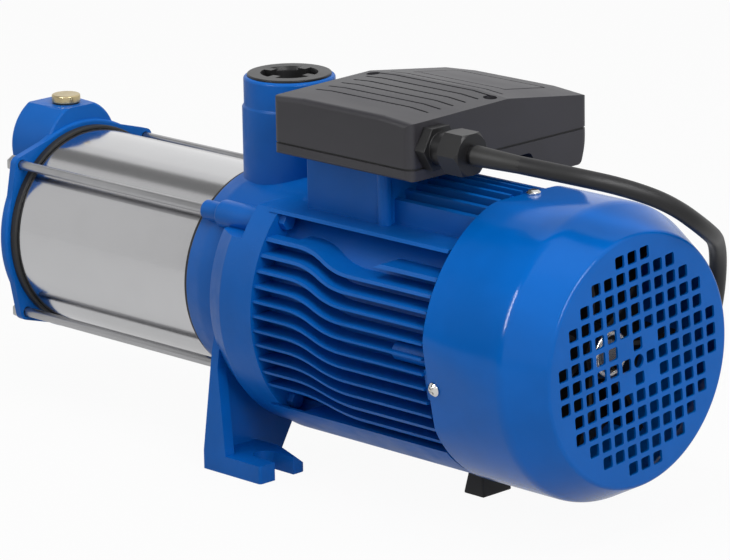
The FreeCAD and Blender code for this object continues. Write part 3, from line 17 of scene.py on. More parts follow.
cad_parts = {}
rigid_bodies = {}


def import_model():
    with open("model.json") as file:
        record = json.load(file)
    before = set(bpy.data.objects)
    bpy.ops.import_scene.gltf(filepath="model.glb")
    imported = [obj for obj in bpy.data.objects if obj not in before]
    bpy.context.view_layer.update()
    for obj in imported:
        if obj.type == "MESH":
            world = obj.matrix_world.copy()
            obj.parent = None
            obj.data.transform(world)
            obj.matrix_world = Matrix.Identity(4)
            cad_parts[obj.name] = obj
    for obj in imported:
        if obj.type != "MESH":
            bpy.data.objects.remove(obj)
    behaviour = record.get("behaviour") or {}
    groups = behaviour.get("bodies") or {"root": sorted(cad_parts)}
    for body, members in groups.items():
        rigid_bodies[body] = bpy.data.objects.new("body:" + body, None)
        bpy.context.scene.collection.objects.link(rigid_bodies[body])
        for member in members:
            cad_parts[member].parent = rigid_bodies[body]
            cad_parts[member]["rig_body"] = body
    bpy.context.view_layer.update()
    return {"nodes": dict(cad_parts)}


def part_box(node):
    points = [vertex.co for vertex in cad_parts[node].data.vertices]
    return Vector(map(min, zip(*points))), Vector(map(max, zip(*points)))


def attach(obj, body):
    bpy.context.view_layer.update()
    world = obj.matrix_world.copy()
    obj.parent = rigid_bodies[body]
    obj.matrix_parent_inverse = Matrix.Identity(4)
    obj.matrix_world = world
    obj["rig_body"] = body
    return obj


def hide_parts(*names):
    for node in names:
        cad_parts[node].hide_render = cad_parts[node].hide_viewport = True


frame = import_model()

LOG = logging.getLogger("pump")
MM = 0.001
SHAFT_HEIGHT = 84.0
# Corners closer than this many millimetres are one.
WELD = 0.002
# Faces that differ by less than this many degrees are one flat face.
FLAT_ANGLE = 0.4
X_AXIS = Vector((1.0, 0.0, 0.0))
Colour = tuple[float, float, float]


def mm(x: float, y: float, z: float) -> Vector:
    """A point given in millimetres over the floor, in metres."""
    return Vector((x, y, z)) * MM


def mesh_of(bm: bmesh.types.BMesh, name: str) -> bpy.types.Mesh:
    """Turns a bmesh into a mesh.

    Args:
        bm: The bmesh, which is freed.
        name: The mesh's name.

    Returns:
        The mesh.
    """
    mesh = bpy.data.meshes.new(name)
    bm.to_mesh(mesh)
    bm.free()
    return mesh


def linked(name: str, data: bpy.types.ID) -> bpy.types.Object:
    """Makes an object and puts it in the scene.

    Args:
        name: The object's name.
        data: Its mesh, curve, light or camera.

    Returns:
        The new object.
    """
    thing = bpy.data.objects.new(name, data)
    bpy.context.scene.collection.objects.link(thing)
    return thing


def linear(red: int, green: int, blue: int) -> Colour:
    """A colour as it is seen, in the linear values that a shader takes.

    Args:
        red: How much red is seen, from 0 to 255.
        green: How much green is seen.
        blue: How much blue is seen.

    Returns:
        The linear values, from 0 to 1.
    """
    def curve(value: int) -> float:
        """The linear value of one channel."""
        share = value / 255.0
        return share / 12.92 if share <= 0.04045 else ((share + 0.055) / 1.055) ** 2.4
    return curve(red), curve(green), curve(blue)


class Signal:
    """A number that varies over a surface, on which Python's arithmetic adds Math nodes."""

    def __init__(self, graph: "Graph", socket: bpy.types.NodeSocket) -> None:
        """Args:
            graph: The node tree that the socket is in.
            socket: The output that carries the number.
        """
        self.graph = graph
        self.socket = socket

    def _with(self, operation: str, *values: "Signal | float") -> "Signal":
        """One Math node on these values."""
        return self.graph.add("ShaderNodeMath", dict(enumerate(values)), operation=operation)

    def __add__(self, other: "Signal | float") -> "Signal":
        """Sum."""
        return self._with("ADD", self, other)

    __radd__ = __add__

    def __mul__(self, other: "Signal | float") -> "Signal":
        """Product."""
        return self._with("MULTIPLY", self, other)

    __rmul__ = __mul__

    def __sub__(self, other: "Signal | float") -> "Signal":
        """Difference."""
        return self._with("SUBTRACT", self, other)

    def __rsub__(self, other: float) -> "Signal":
        """Difference with the number first."""
        return self._with("SUBTRACT", other, self)

    def sine(self) -> "Signal":
        """Sine of the number."""
        return self._with("SINE", self)

    def angle_with(self, other: "Signal") -> "Signal":
        """The angle whose tangent is this over the other."""
        return self._with("ARCTAN2", self, other)

    def ramp(self, low: float, high: float) -> "Signal":
        """0 below low, 1 above high and a smooth rise between them."""
        inputs = {"Value": self, "From Min": low, "From Max": high}
        return self.graph.add("ShaderNodeMapRange", inputs, interpolation_type="SMOOTHSTEP")


class Graph:
    """The node tree of one material."""

    def __init__(self, name: str) -> None:
        """Args:
            name: The material's name.
        """
        self.material = bpy.data.materials.new(name)
        self.material.use_nodes = True
        self.nodes = self.material.node_tree.nodes
        self.links = self.material.node_tree.links
        self.nodes.clear()

    @classmethod
    def of_tree(cls, tree: bpy.types.NodeTree) -> "Graph":
        """A graph on a node tree that exists already, such as the world's.

        Args:
            tree: The node tree, which is emptied.

        Returns:
            The graph.
        """
        graph = cls.__new__(cls)
        graph.material = None
        graph.nodes = tree.nodes
        graph.links = tree.links
        graph.nodes.clear()
        return graph

    def node(self, kind: str, inputs: dict | None = None, **settings: object) -> bpy.types.Node:
        """Adds one node.

        Args:
            kind: The node's type.
            inputs: Socket name or number to a value, or to the signal that is linked to it.
            settings: The node's own settings.

        Returns:
            The new node.
        """
        node = self.nodes.new(kind)
        for key, value in settings.items():
            setattr(node, key, value)
        for key, value in (inputs or {}).items():
            if isinstance(value, Signal):
                self.links.new(value.socket, node.inputs[key])
            elif isinstance(value, tuple) and node.inputs[key].type == "RGBA":
                node.inputs[key].default_value = (*value, 1.0)
            else:
                node.inputs[key].default_value = value
        return node

    def add(self, kind: str, inputs: dict | None = None, output: int | str = 0, **settings: object) -> Signal:
        """Adds one node and gives the output that is named or numbered."""
        return Signal(self, self.node(kind, inputs, **settings).outputs[output])

    def place(self, scale: Sequence[float] = (1.0, 1.0, 1.0)) -> Signal:
        """The point on the piece in metres, scaled along each axis."""
        point = self.add("ShaderNodeTexCoord", output="Object")
        return self.add("ShaderNodeMapping", {"Vector": point, "Scale": tuple(scale)})

    def axis(self, letter: str) -> Signal:
        """One coordinate of the point on the piece."""
        return self.add("ShaderNodeSeparateXYZ", {"Vector": self.place()}, output=letter)

    def noise(self, size: float, detail: float = 2.0, stretch: Sequence[float] = (1.0, 1.0, 1.0)) -> Signal:
        """Noise from 0 to 1.

        Args:
            size: The size of its lumps in millimetres.
            detail: How many finer layers it has.
            stretch: How much longer the lumps are along each axis.

        Returns:
            The noise.
        """
        place = self.place([1.0 / share for share in stretch])
        return self.add("ShaderNodeTexNoise", {"Vector": place, "Scale": 1.0 / (size * MM), "Detail": detail})

    def blend(self, first: Colour, second: Colour, share: Signal) -> Signal:
        """A colour between two."""
        return self.add("ShaderNodeMix", {"Factor": share, 6: first, 7: second}, output=2, data_type="RGBA")

    def bump(self, height: Signal, depth: float, below: Signal | None = None) -> Signal:
        """A normal from a height of 0 to 1.

        Args:
            height: The height.
            depth: How deep that is, in millimetres.
            below: A coarser bump that this one lies on.

        Returns:
            The normal.
        """
        inputs = {"Height": height, "Distance": depth * MM, "Strength": 1.0}
        if below:
            inputs["Normal"] = below
        return self.add("ShaderNodeBump", inputs)

    def surface(self, **sockets: object) -> bpy.types.Material:
        """Ends the material in one Principled shader.

        Args:
            sockets: The shader's sockets, with _ for a space, and their values or signals.

        Returns:
            The finished material.
        """
        inputs = {key.replace("_", " "): value for key, value in sockets.items()}
        shader = self.add("ShaderNodeBsdfPrincipled", inputs)
        self.add_output(shader)
        return self.material

    def add_output(self, shader: Signal) -> None:
        """Links a shader to the material's output."""
        self.node("ShaderNodeOutputMaterial", {"Surface": shader})


def shade(colour: Colour, factor: float) -> Colour:
    """A lighter or darker version of a colour."""
    return tuple(min(1.0, part * factor) for part in colour)


class Skin(Enum):
    """How a painted or moulded surface was made: lump size, lump depth, grain size, grain depth, in mm."""

    SAND_CAST = (5.5, 0.06, 0.9, 0.03)
    DRAWN = (30.0, 0.012, 0.5, 0.0006)
    MOULDED = (9.0, 0.01, 0.35, 0.004)
    SMOOTH = (12.0, 0.01, 0.5, 0.0006)


@dataclass(frozen=True)
class Paint:
    """Stove enamel over metal."""

    name: str
    colour: Colour
    skin: Skin
    roughness: float = 0.38
    worn: float = 0.10
    gloss: float = 0.19
    drift_size: float = 38.0
    drift: float = 0.07
    patch_size: float = 11.0

    def make(self) -> bpy.types.Material:
        """Makes the finish: an even colour with a slight drift, a duller film in patches, lumps and grain.

        Returns:
            The material.
        """
        graph = Graph(self.name)
        lump, lump_depth, grain, grain_depth = self.skin.value
        drift = graph.noise(self.drift_size, 3.0).ramp(0.3, 0.7)
        patch = graph.noise(self.patch_size, 4.0).ramp(0.35, 0.75)
        dark, light = (shade(self.colour, 1.0 + side * self.drift) for side in (-1, 1))
        colour = graph.blend(dark, light, drift)
        coarse = graph.bump(graph.noise(lump, 1.0), lump_depth)
        fine = graph.bump(graph.noise(grain, 2.0), grain_depth, coarse)
        return graph.surface(
            Base_Color=colour, Roughness=self.roughness + patch * self.worn, Normal=fine,
            Specular_IOR_Level=self.gloss)


@dataclass(frozen=True)
class Plastic:
    """Moulded plastic or rubber, dyed through."""

    name: str
    colour: Colour
    skin: Skin
    roughness: float = 0.45
    gloss: float = 0.32
    flow_size: float = 26.0
    flow_stretch: float = 3.0
    flow_tint: float = 0.12
    flow_dulling: float = 0.08

    def make(self) -> bpy.types.Material:
        """Makes the finish: spark-eroded grain, slight flow marks and a patchy gloss.

        Returns:
            The material.
        """
        graph = Graph(self.name)
        lump, lump_depth, grain, grain_depth = self.skin.value
        flow = graph.noise(self.flow_size, 3.0, (self.flow_stretch, 1.0, 1.0)).ramp(0.3, 0.75)
        dark, light = (shade(self.colour, 1.0 + side * self.flow_tint) for side in (-1, 1))
        colour = graph.blend(dark, light, flow)
        coarse = graph.bump(graph.noise(lump, 1.0), lump_depth)
        fine = graph.bump(graph.noise(grain, 3.0), grain_depth, coarse)
        return graph.surface(
            Base_Color=colour, Roughness=self.roughness + flow * self.flow_dulling, Normal=fine,
            Specular_IOR_Level=self.gloss)


class Lay(Enum):
    """Which way the tool marks run on a metal surface."""

    ROUND_THE_SHAFT = 1
    ALONG_THE_SHAFT = 2
    NONE = 3


@dataclass(frozen=True)
class Metal:
    """Bare metal with its tool marks."""

    name: str
    colour: Colour
    lay: Lay = Lay.NONE
    roughness: float = 0.28
    mark_size: float = 0.5
    mark_depth: float = 0.002
    mark_dulling: float = 0.12
    mark_stretch: float = 40.0
    turn_scale: float = 0.004
    stain: float = 0.06
    stain_size: float = 17.0

    def make(self) -> bpy.types.Material:
        """Makes the finish: long fine marks in the roughness and the bump, and faint stains.

        Returns:
            The material.
        """
        graph = Graph(self.name)
        if self.lay is Lay.ROUND_THE_SHAFT:
            turn = (graph.axis("Z") - SHAFT_HEIGHT * MM).angle_with(graph.axis("Y"))
            place = graph.add("ShaderNodeCombineXYZ", {"X": graph.axis("X"), "Y": turn * self.turn_scale})
            inputs = {"Vector": place, "Scale": 1.0 / (self.mark_size * MM), "Detail": 3.0}
            marks = graph.add("ShaderNodeTexNoise", inputs)
        elif self.lay is Lay.ALONG_THE_SHAFT:
            marks = graph.noise(self.mark_size, 3.0, (self.mark_stretch, 1.0, 1.0))
        else:
            marks = graph.noise(self.mark_size, 3.0)
        stain = graph.noise(self.stain_size, 4.0).ramp(0.35, 0.8)
        colour = graph.blend(self.colour, shade(self.colour, 1.0 - 2.0 * self.stain), stain)
        return graph.surface(
            Base_Color=colour, Metallic=1.0,
            Roughness=self.roughness + (marks - 0.5) * self.mark_dulling + stain * self.stain,
            Normal=graph.bump(marks, self.mark_depth))


@dataclass(frozen=True)
class Stack:
    """Varnished lamination or winding: fine even lines along the shaft."""

    name: str
    colour: Colour
    pitch: float
    metallic: float = 1.0
    roughness: float = 0.45
    groove_tint: float = 0.6
    groove_depth: float = 0.05
    drift_size: float = 3.0
    drift_dulling: float = 0.1

    def make(self) -> bpy.types.Material:
        """Makes the finish: one line to each sheet or turn.

        Returns:
            The material.
        """
        graph = Graph(self.name)
        lines = (graph.axis("X") * (2.0 * math.pi / (self.pitch * MM))).sine() * 0.5 + 0.5
        drift = graph.noise(self.drift_size, 3.0)
        colour = graph.blend(shade(self.colour, self.groove_tint), self.colour, lines * 0.6 + drift * 0.4)
        return graph.surface(
            Base_Color=colour, Metallic=self.metallic, Roughness=self.roughness + drift * self.drift_dulling,
            Normal=graph.bump(lines, self.groove_depth))


CAST_BLUE = linear(4, 94, 180)
SHEET_BLUE = linear(2, 99, 190)
FINISHES: dict[str, Paint | Plastic | Metal | Stack] = {finish.name: finish for finish in (
    Paint("blue_cast", CAST_BLUE, Skin.SAND_CAST, roughness=0.36, worn=0.12),
    Paint("blue_sheet", SHEET_BLUE, Skin.DRAWN, roughness=0.15, worn=0.02, gloss=0.18),
    Metal("stainless", (0.57, 0.57, 0.58), Lay.ROUND_THE_SHAFT, roughness=0.15, mark_size=0.35,
          mark_depth=0.0004, stain=0.01),
    Metal("nickel", (0.70, 0.69, 0.67), roughness=0.18, mark_depth=0.0006, stain=0.05),
    Metal("turned_steel", (0.20, 0.20, 0.21), Lay.ROUND_THE_SHAFT, roughness=0.25),
    Metal("zinc", (0.50, 0.50, 0.50), roughness=0.30, stain=0.1),
    Metal("drawn_rod", (0.42, 0.42, 0.43), Lay.ALONG_THE_SHAFT, roughness=0.30),
    Metal("ground_steel", (0.62, 0.62, 0.64), roughness=0.12, mark_depth=0.0005),
    Metal("brass", (0.56, 0.46, 0.26), roughness=0.32, mark_size=0.3),
    Stack("core_steel", (0.28, 0.28, 0.30), 0.5),
    Stack("copper_wire", (0.70, 0.26, 0.09), 0.9, roughness=0.3),
    Plastic("black_rubber", (0.026, 0.026, 0.026), Skin.SMOOTH, roughness=0.5),
    Plastic("black_plastic", (0.014, 0.014, 0.015), Skin.MOULDED, roughness=0.36),
    Plastic("box_plastic", linear(47, 46, 51), Skin.MOULDED, roughness=0.42, gloss=0.42),
    Plastic("cable_rubber", (0.013, 0.013, 0.014), Skin.SMOOTH, roughness=0.42),
    Plastic("ceramic", (0.80, 0.78, 0.72), Skin.SMOOTH, roughness=0.2),
    Plastic("carbon", (0.03, 0.03, 0.03), Skin.SMOOTH, roughness=0.3),
    Plastic("strip_plastic", (0.62, 0.60, 0.52), Skin.MOULDED, roughness=0.4),
    Plastic("capacitor_can", (0.70, 0.70, 0.68), Skin.SMOOTH, roughness=0.35),
)}


class Workshop:
    """Makes the finishes once and turns meshes into pieces."""

    def __init__(self) -> None:
        """Starts with no material made."""
        self.made: dict[str, bpy.types.Material] = {}

    def finish(self, name: str) -> bpy.types.Material:
        """The material of a finish, made at its first use.

        Args:
            name: The finish's name.

        Returns:
            The material.
        """
        if name not in self.made:
            self.made[name] = FINISHES[name].make()
        return self.made[name]

    def dress(self, names: Iterable[str], finish: str) -> None:
        """Gives CAD nodes a finish.

        Args:
            names: The nodes.
            finish: The finish's name.
        """
        for name in names:
            mesh = frame["nodes"][name].data
            mesh.materials.clear()
            mesh.materials.append(self.finish(finish))

    def piece(self, bm: bmesh.types.BMesh, name: str, body: str, finish: str, slot: str,
              replaces: Sequence[str] = (), crease: float = 35.0) -> bpy.types.Object:
        """Turns a bmesh into a piece that rides on a body.

        Args:
            bm: The mesh, in metres, which is freed.
            name: The piece's name.
            body: The body that it rides on.
            finish: The name of its finish.
            slot: The record's material slot. It is not used.
            replaces: The CAD nodes that it stands for.
            crease: Edges sharper than this angle in degrees stay sharp.

        Returns:
            The new object.
        """
        mesh = mesh_of(bm, name)
        mesh.shade_smooth()
        mesh.set_sharp_from_angle(angle=math.radians(crease))
        mesh.materials.append(self.finish(finish))
        thing = linked(name, mesh)
        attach(thing, body)
        if replaces:
            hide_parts(*replaces)
        LOG.info("%s rides on %s", name, body)
        return thing

    def refined(self, node: str, name: str, finish: str, slot: str, edge: float = 0.6,
                crease: float = 32.0, segments: int = 2) -> bpy.types.Object:
        """Stands for a CAD node with the same form, its edges rounded.

        Args:
            node: The CAD node.
            name: The piece's name.
            finish: The name of its finish.
            slot: The record's material slot.
            edge: The radius of the rounded edges in millimetres.
            crease: Edges sharper than this angle in degrees are rounded.
            segments: The number of faces across a rounded edge.

        Returns:
            The new object.
        """
        bm = bmesh.new()
        bm.from_mesh(frame["nodes"][node].data)
        bmesh.ops.remove_doubles(bm, verts=bm.verts, dist=WELD * MM)
        if edge > 0:
            bmesh.ops.dissolve_limit(bm, angle_limit=math.radians(FLAT_ANGLE), verts=bm.verts, edges=bm.edges)
        body = frame["nodes"][node]["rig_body"]
        thing = self.piece(bm, name, body, finish, slot, [node], crease)
        if edge > 0:
            bevel = thing.modifiers.new("rounded_edges", "BEVEL")
            bevel.width = edge * MM
            bevel.segments = segments
            bevel.limit_method = "ANGLE"
            bevel.angle_limit = math.radians(crease)
            bevel.use_clamp_overlap = True
            bevel.miter_outer = "MITER_ARC"
            normals = thing.modifiers.new("flat_faces", "WEIGHTED_NORMAL")
            normals.keep_sharp = True
        return thing


def lathe(profile: Sequence[tuple[float, float]], y: float = 0.0, z: float = SHAFT_HEIGHT,
          steps: int = 96) -> bmesh.types.BMesh:
    """A form turned about an axis along X.

    Args:
        profile: Points (x, radius) in millimetres. A closed ring section repeats its first point.
        y: The axis's place across the pump.
        z: The axis's height.
        steps: The number of faces round the axis.

    Returns:
        The mesh, its faces pointing outwards.
    """
    bm = bmesh.new()
    verts = [bm.verts.new(mm(x, y, z + radius)) for x, radius in profile]
    edges = [bm.edges.new(pair) for pair in zip(verts, verts[1:])]
    bmesh.ops.spin(bm, geom=verts + edges, cent=mm(0, y, z), axis=X_AXIS, angle=2 * math.pi, steps=steps,
                   use_merge=True, use_duplicate=False)
    bmesh.ops.remove_doubles(bm, verts=bm.verts, dist=WELD * MM)
    bmesh.ops.recalc_face_normals(bm, faces=bm.faces)
    return bm


def eased(corners: Sequence[tuple[float, float, float]], steps: int = 8) -> list[tuple[float, float]]:
    """An outline whose corners are rounded.

    Args:
        corners: Points (x, radius) in millimetres, each with the radius of its rounding.
        steps: The number of runs in each rounding.

    Returns:
        The outline's points.
    """
    points = []
    for index, (x, y, radius) in enumerate(corners):
        here = Vector((x, y))
        if radius <= 0:
            points.append((x, y))
            continue
        back = (Vector(corners[index - 1][:2]) - here).normalized()
        ahead = (Vector(corners[index + 1][:2]) - here).normalized()
        half = back.angle(ahead) / 2
        middle = (back + ahead).normalized()
        centre = here + middle * (radius / math.sin(half))
        first = here + back * (radius / math.tan(half)) - centre
        last = here + ahead * (radius / math.tan(half)) - centre
        for step in range(steps + 1):
            points.append(tuple(centre + first.slerp(last, step / steps) * radius))
    return points


def stations(first: tuple[float, float], last: tuple[float, float],
             pitch: float) -> list[tuple[float, float, float]]:
    """Corners with no rounding, spaced evenly between two points.

    Args:
        first: The first corner (x, radius) in millimetres.
        last: The point at the end, which is left out.
        pitch: The spacing that is aimed at.

    Returns:
        The corners, as eased takes them.
    """
    count = max(1, round(math.dist(first, last) / pitch))
    (x, y), (end_x, end_y) = first, last
    return [(x + (end_x - x) * step / count, y + (end_y - y) * step / count, 0.0) for step in range(count)]


def cut_out(bm: bmesh.types.BMesh, cutter: bmesh.types.BMesh, wall: float = 0.0) -> bmesh.types.BMesh:
    """Gives a form its wall and takes a cutter's form out of it.

    Args:
        bm: The form, which is freed.
        cutter: What is taken out, which is freed.
        wall: The wall's thickness in millimetres, grown inwards from an open sheet.

    Returns:
        The form that is left.
    """
    things = [linked("blank", mesh_of(part, "blank")) for part in (bm, cutter)]
    if wall > 0:
        solid = things[0].modifiers.new("wall", "SOLIDIFY")
        solid.thickness = wall * MM
        solid.offset = -1.0
        solid.use_even_offset = True
    holes = things[0].modifiers.new("holes", "BOOLEAN")
    holes.operation = "DIFFERENCE"
    holes.solver = "EXACT"
    holes.use_self = True
    holes.object = things[1]
    bpy.context.view_layer.update()
    evaluated = things[0].evaluated_get(bpy.context.evaluated_depsgraph_get())
    mesh = bpy.data.meshes.new_from_object(evaluated)
    result = bmesh.new()
    result.from_mesh(mesh)
    bpy.data.meshes.remove(mesh)
    for thing in things:
        blank = thing.data
        bpy.data.objects.remove(thing)
        bpy.data.meshes.remove(blank)
    return result


def square_bar(length: float, width: float, height: float, corner: float,
               matrix: Matrix) -> bmesh.types.BMesh:
    """A bar along X with its long edges rounded.

    Args:
        length: Its length in millimetres.
        width: Its width along Y.
        height: Its height along Z.
        corner: The radius of its long edges.
        matrix: Where it is put.

    Returns:
        The bar's mesh.
    """
    bm = bmesh.new()
    bmesh.ops.create_cube(bm, size=1.0, matrix=Matrix.Diagonal((length * MM, width * MM, height * MM, 1.0)))
    edges = [edge for edge in bm.edges if abs(edge.verts[0].co.x - edge.verts[1].co.x) > length * MM / 2]
    bmesh.ops.bevel(bm, geom=edges, offset=corner * MM, offset_type="OFFSET", segments=2, profile=0.5,
                    affect="EDGES", material=-1)
    bm.transform(matrix)
    return bm


def added(target: bmesh.types.BMesh, part: bmesh.types.BMesh) -> None:
    """Adds one mesh to another.

    Args:
        target: The mesh that grows.
        part: What is added, which is freed.
    """
    mesh = mesh_of(part, "part")
    target.from_mesh(mesh)
    bpy.data.meshes.remove(mesh)


@dataclass(frozen=True)
class PanScrew:
    """A pan-head screw with a cross recess. Sizes in millimetres."""

    head_radius: float
    head_height: float
    shank_radius: float
    shank_length: float
    recess_width: float = 1.1
    recess_share: float = 1.15
    recess_depth: float = 0.55
    recess_corner: float = 0.15
    shoulder_share: float = 0.42
    crown_share: float = 0.92
    crown_width: float = 0.62
    crown_round: float = 1.2
    rim_round: float = 0.5
    tip_round: float = 0.3
    seat_round: float = 0.25
    round_runs: int = 5
    steps: int = 40

    def form(self) -> bmesh.types.BMesh:
        """Turns the screw and cuts its recess.

        Returns:
            The screw, its seat at the origin and its head towards +X.
        """
        height = self.head_height
        body = lathe(eased([
            (-self.shank_length, 0.0, 0.0), (-self.shank_length, self.shank_radius, self.tip_round),
            (0.0, self.shank_radius, 0.0), (0.0, self.head_radius, self.seat_round),
            (height * self.shoulder_share, self.head_radius, self.rim_round),
            (height * self.crown_share, self.head_radius * self.crown_width, self.crown_round),
            (height, 0.0, 0.0)], self.round_runs), 0.0, 0.0, self.steps)
        cross = bmesh.new()
        for turn in (0.0, math.pi / 2):
            reach = self.head_radius * self.recess_share
            place = Matrix.Translation(mm(height, 0, 0)) @ Matrix.Rotation(turn, 4, "X")
            added(cross, square_bar(height * self.recess_depth * 2, reach, self.recess_width,
                                    self.recess_corner, place))
        return cut_out(body, cross)

    def placed(self, seat: Vector, direction: Vector, turn: float) -> bmesh.types.BMesh:
        """The screw on its seat.

        Args:
            seat: The middle of the face that its head bears on, in metres.
            direction: The way that its head points.
            turn: How far it is turned, in degrees.

        Returns:
            The screw's mesh.
        """
        bm = self.form()
        aim = X_AXIS.rotation_difference(direction.normalized()).to_matrix().to_4x4()
        bm.transform(Matrix.Translation(seat) @ aim @ Matrix.Rotation(math.radians(turn), 4, "X"))
        return bm


def line_points(curve: bpy.types.Object) -> list[Vector]:
    """The points of a curve's own line, with no bevel.

    Args:
        curve: The curve's object.

    Returns:
        The points in order, in metres.
    """
    depth = curve.data.bevel_depth
    curve.data.bevel_depth = 0.0
    bpy.context.view_layer.update()
    evaluated = curve.evaluated_get(bpy.context.evaluated_depsgraph_get())
    mesh = bpy.data.meshes.new_from_object(evaluated)
    points = [vert.co.copy() for vert in mesh.vertices]
    bpy.data.meshes.remove(mesh)
    curve.data.bevel_depth = depth
    return points


def sleeve(points: Sequence[Vector], radii: Sequence[float], steps: int = 32) -> bmesh.types.BMesh:
    """A round tube along points, closed at both ends.

    Args:
        points: Its middle line, in metres.
        radii: The radius at each point, in millimetres.
        steps: The number of faces round it.

    Returns:
        The tube's mesh.
    """
    bm = bmesh.new()
    loops = []
    for index, (point, radius) in enumerate(zip(points, radii)):
        ahead = points[min(index + 1, len(points) - 1)] - points[max(index - 1, 0)]
        turn = Vector((0, 0, 1)).rotation_difference(ahead.normalized()).to_matrix().to_4x4()
        ring = bmesh.ops.create_circle(bm, cap_ends=index in (0, len(points) - 1), segments=steps,
                                       radius=radius * MM, matrix=Matrix.Translation(point) @ turn)
        loops.append(list({edge for vert in ring["verts"] for edge in vert.link_edges}))
    for first, second in zip(loops, loops[1:]):
        bmesh.ops.bridge_loops(bm, edges=first + second)
    bmesh.ops.recalc_face_normals(bm, faces=bm.faces)
    return bm


@dataclass
class SuctionEnd:
    """The cast head with its boss, plugs and gasket, and the four rods with their nuts."""

    shop: Workshop
    rod_y: float = 42.4
    rod_z: float = 38.9
    rod_radius: float = 2.4
    rod_start: float = -186.0
    rod_end: float = -2.5
    nut_end: float = -182.6
    nut_height: float = 2.9
    nut_corner: float = 4.27
    nut_chamfer: float = 0.32
    end_round: float = 0.5
    end_runs: int = 4
    rod_steps: int = 32
    washer_radius: float = 6.9
    washer_bore: float = 5.4
    washer_steps: int = 64

    def build(self) -> None:
        """Dresses the head and what is screwed into it."""
        self.shop.refined("suction_head", "head_casting", "blue_cast", "blue_paint", edge=1.2, segments=3)
        self.shop.refined("suction_gasket", "head_gasket", "black_rubber", "black_rubber", edge=0.5)
        self.shop.refined("priming_plug", "filler_plug", "brass", "brass", edge=0.4)
        self.thin_washer()
        self.shop.refined("drain_plug", "drain_screw", "brass", "brass", edge=0.5)
        self.shop.refined("drain_washer", "drain_ring", "black_rubber", "black_rubber", edge=0.2)
        self.shop.refined("tie_rod_washers", "rod_washers", "zinc", "zinc_steel", edge=0.0)
        self.rods()

    def thin_washer(self) -> None:
        """Turns the filler plug's washer, which stays under the plug's head."""
        low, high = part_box("priming_washer")
        height = (high.z - low.z) / MM
        ring = lathe([(0.0, self.washer_bore), (0.0, self.washer_radius), (height, self.washer_radius),
                      (height, self.washer_bore), (0.0, self.washer_bore)], 0.0, 0.0, self.washer_steps)
        seat = Vector(((low.x + high.x) / 2, (low.y + high.y) / 2, low.z))
        ring.transform(Matrix.Translation(seat) @ Matrix.Rotation(-math.pi / 2, 4, "Y"))
        self.shop.piece(ring, "filler_washer", "priming_cap", "black_rubber", "black_rubber",
                        ["priming_washer"])

    def rods(self) -> None:
        """Turns the four rods and chamfers their nuts."""
        rods = bmesh.new()
        nuts = bmesh.new()
        for y, z in ((side * self.rod_y, level * self.rod_z) for side in (-1, 1) for level in (-1, 1)):
            added(rods, lathe(eased([
                (self.rod_start, 0.0, 0.0), (self.rod_start, self.rod_radius, self.end_round),
                (self.rod_end, self.rod_radius, self.end_round), (self.rod_end, 0.0, 0.0)], self.end_runs),
                y, z + SHAFT_HEIGHT, self.rod_steps))
            nut = bmesh.new()
            turn = Matrix.Rotation(math.pi / 2, 4, "Y")
            middle = Matrix.Translation(mm(self.nut_end - self.nut_height / 2, y, z + SHAFT_HEIGHT))
            bmesh.ops.create_cone(nut, cap_ends=True, segments=6, radius1=self.nut_corner * MM,
                                  radius2=self.nut_corner * MM, depth=self.nut_height * MM,
                                  matrix=middle @ turn @ Matrix.Rotation(math.pi / 2, 4, "Z"))
            bmesh.ops.bevel(nut, geom=nut.edges[:], offset=self.nut_chamfer * MM, offset_type="OFFSET",
                            segments=2, profile=0.5, affect="EDGES", material=-1)
            added(nuts, nut)
        self.shop.piece(rods, "long_rods", "pump", "drawn_rod", "zinc_steel", ["tie_rods"])
        self.shop.piece(nuts, "rod_nuts", "pump", "zinc", "zinc_steel", ["tie_rod_nuts"])


@dataclass
class StageCasing:
    """The steel tube round the stages, with its gasket at the bracket."""

    shop: Workshop
    start: float = -176.5
    end: float = -45.0
    radius: float = 50.5
    wall: float = 1.0
    steps: int = 180

    def build(self) -> None:
        """Turns the tube and dresses its gasket."""
        inner = self.radius - self.wall
        profile = [(self.start, inner), (self.start, self.radius), (self.end, self.radius), (self.end, inner),
                   (self.start, inner)]
        tube = lathe(profile, steps=self.steps)
        self.shop.piece(tube, "stage_tube", "pump", "stainless", "stainless_steel", ["pump_shell"])
        self.shop.refined("bracket_gasket", "casing_gasket", "black_rubber", "black_rubber", edge=0.4)


@dataclass
class BracketCasting:
    """The casting between pump and motor with the discharge port, the front foot and the shipping plug."""

    shop: Workshop

    def build(self) -> None:
        """Dresses the casting and its plug."""
        self.shop.refined("bracket", "bracket_casting", "blue_cast", "blue_paint", edge=1.0, segments=3)
        self.shop.refined("discharge_plug", "shipping_plug", "black_plastic", "black_plastic", edge=0.3)


@dataclass
class MotorBody:
    """The finned housing, its bolts, the end shield and the rubber foot."""

    shop: Workshop

    def build(self) -> None:
        """Dresses the housing and what is bolted to it."""
        self.shop.refined("motor_housing", "finned_housing", "blue_cast", "blue_paint", edge=0.7)
        self.shop.refined("flange_bolts", "housing_bolts", "blue_cast", "blue_paint", edge=0.4)
        self.shop.refined("rear_foot", "rubber_foot", "black_rubber", "black_rubber", edge=1.0)
        self.shop.dress(["end_shield"], "blue_cast")
        self.shop.dress(["end_shield_bolts"], "zinc")


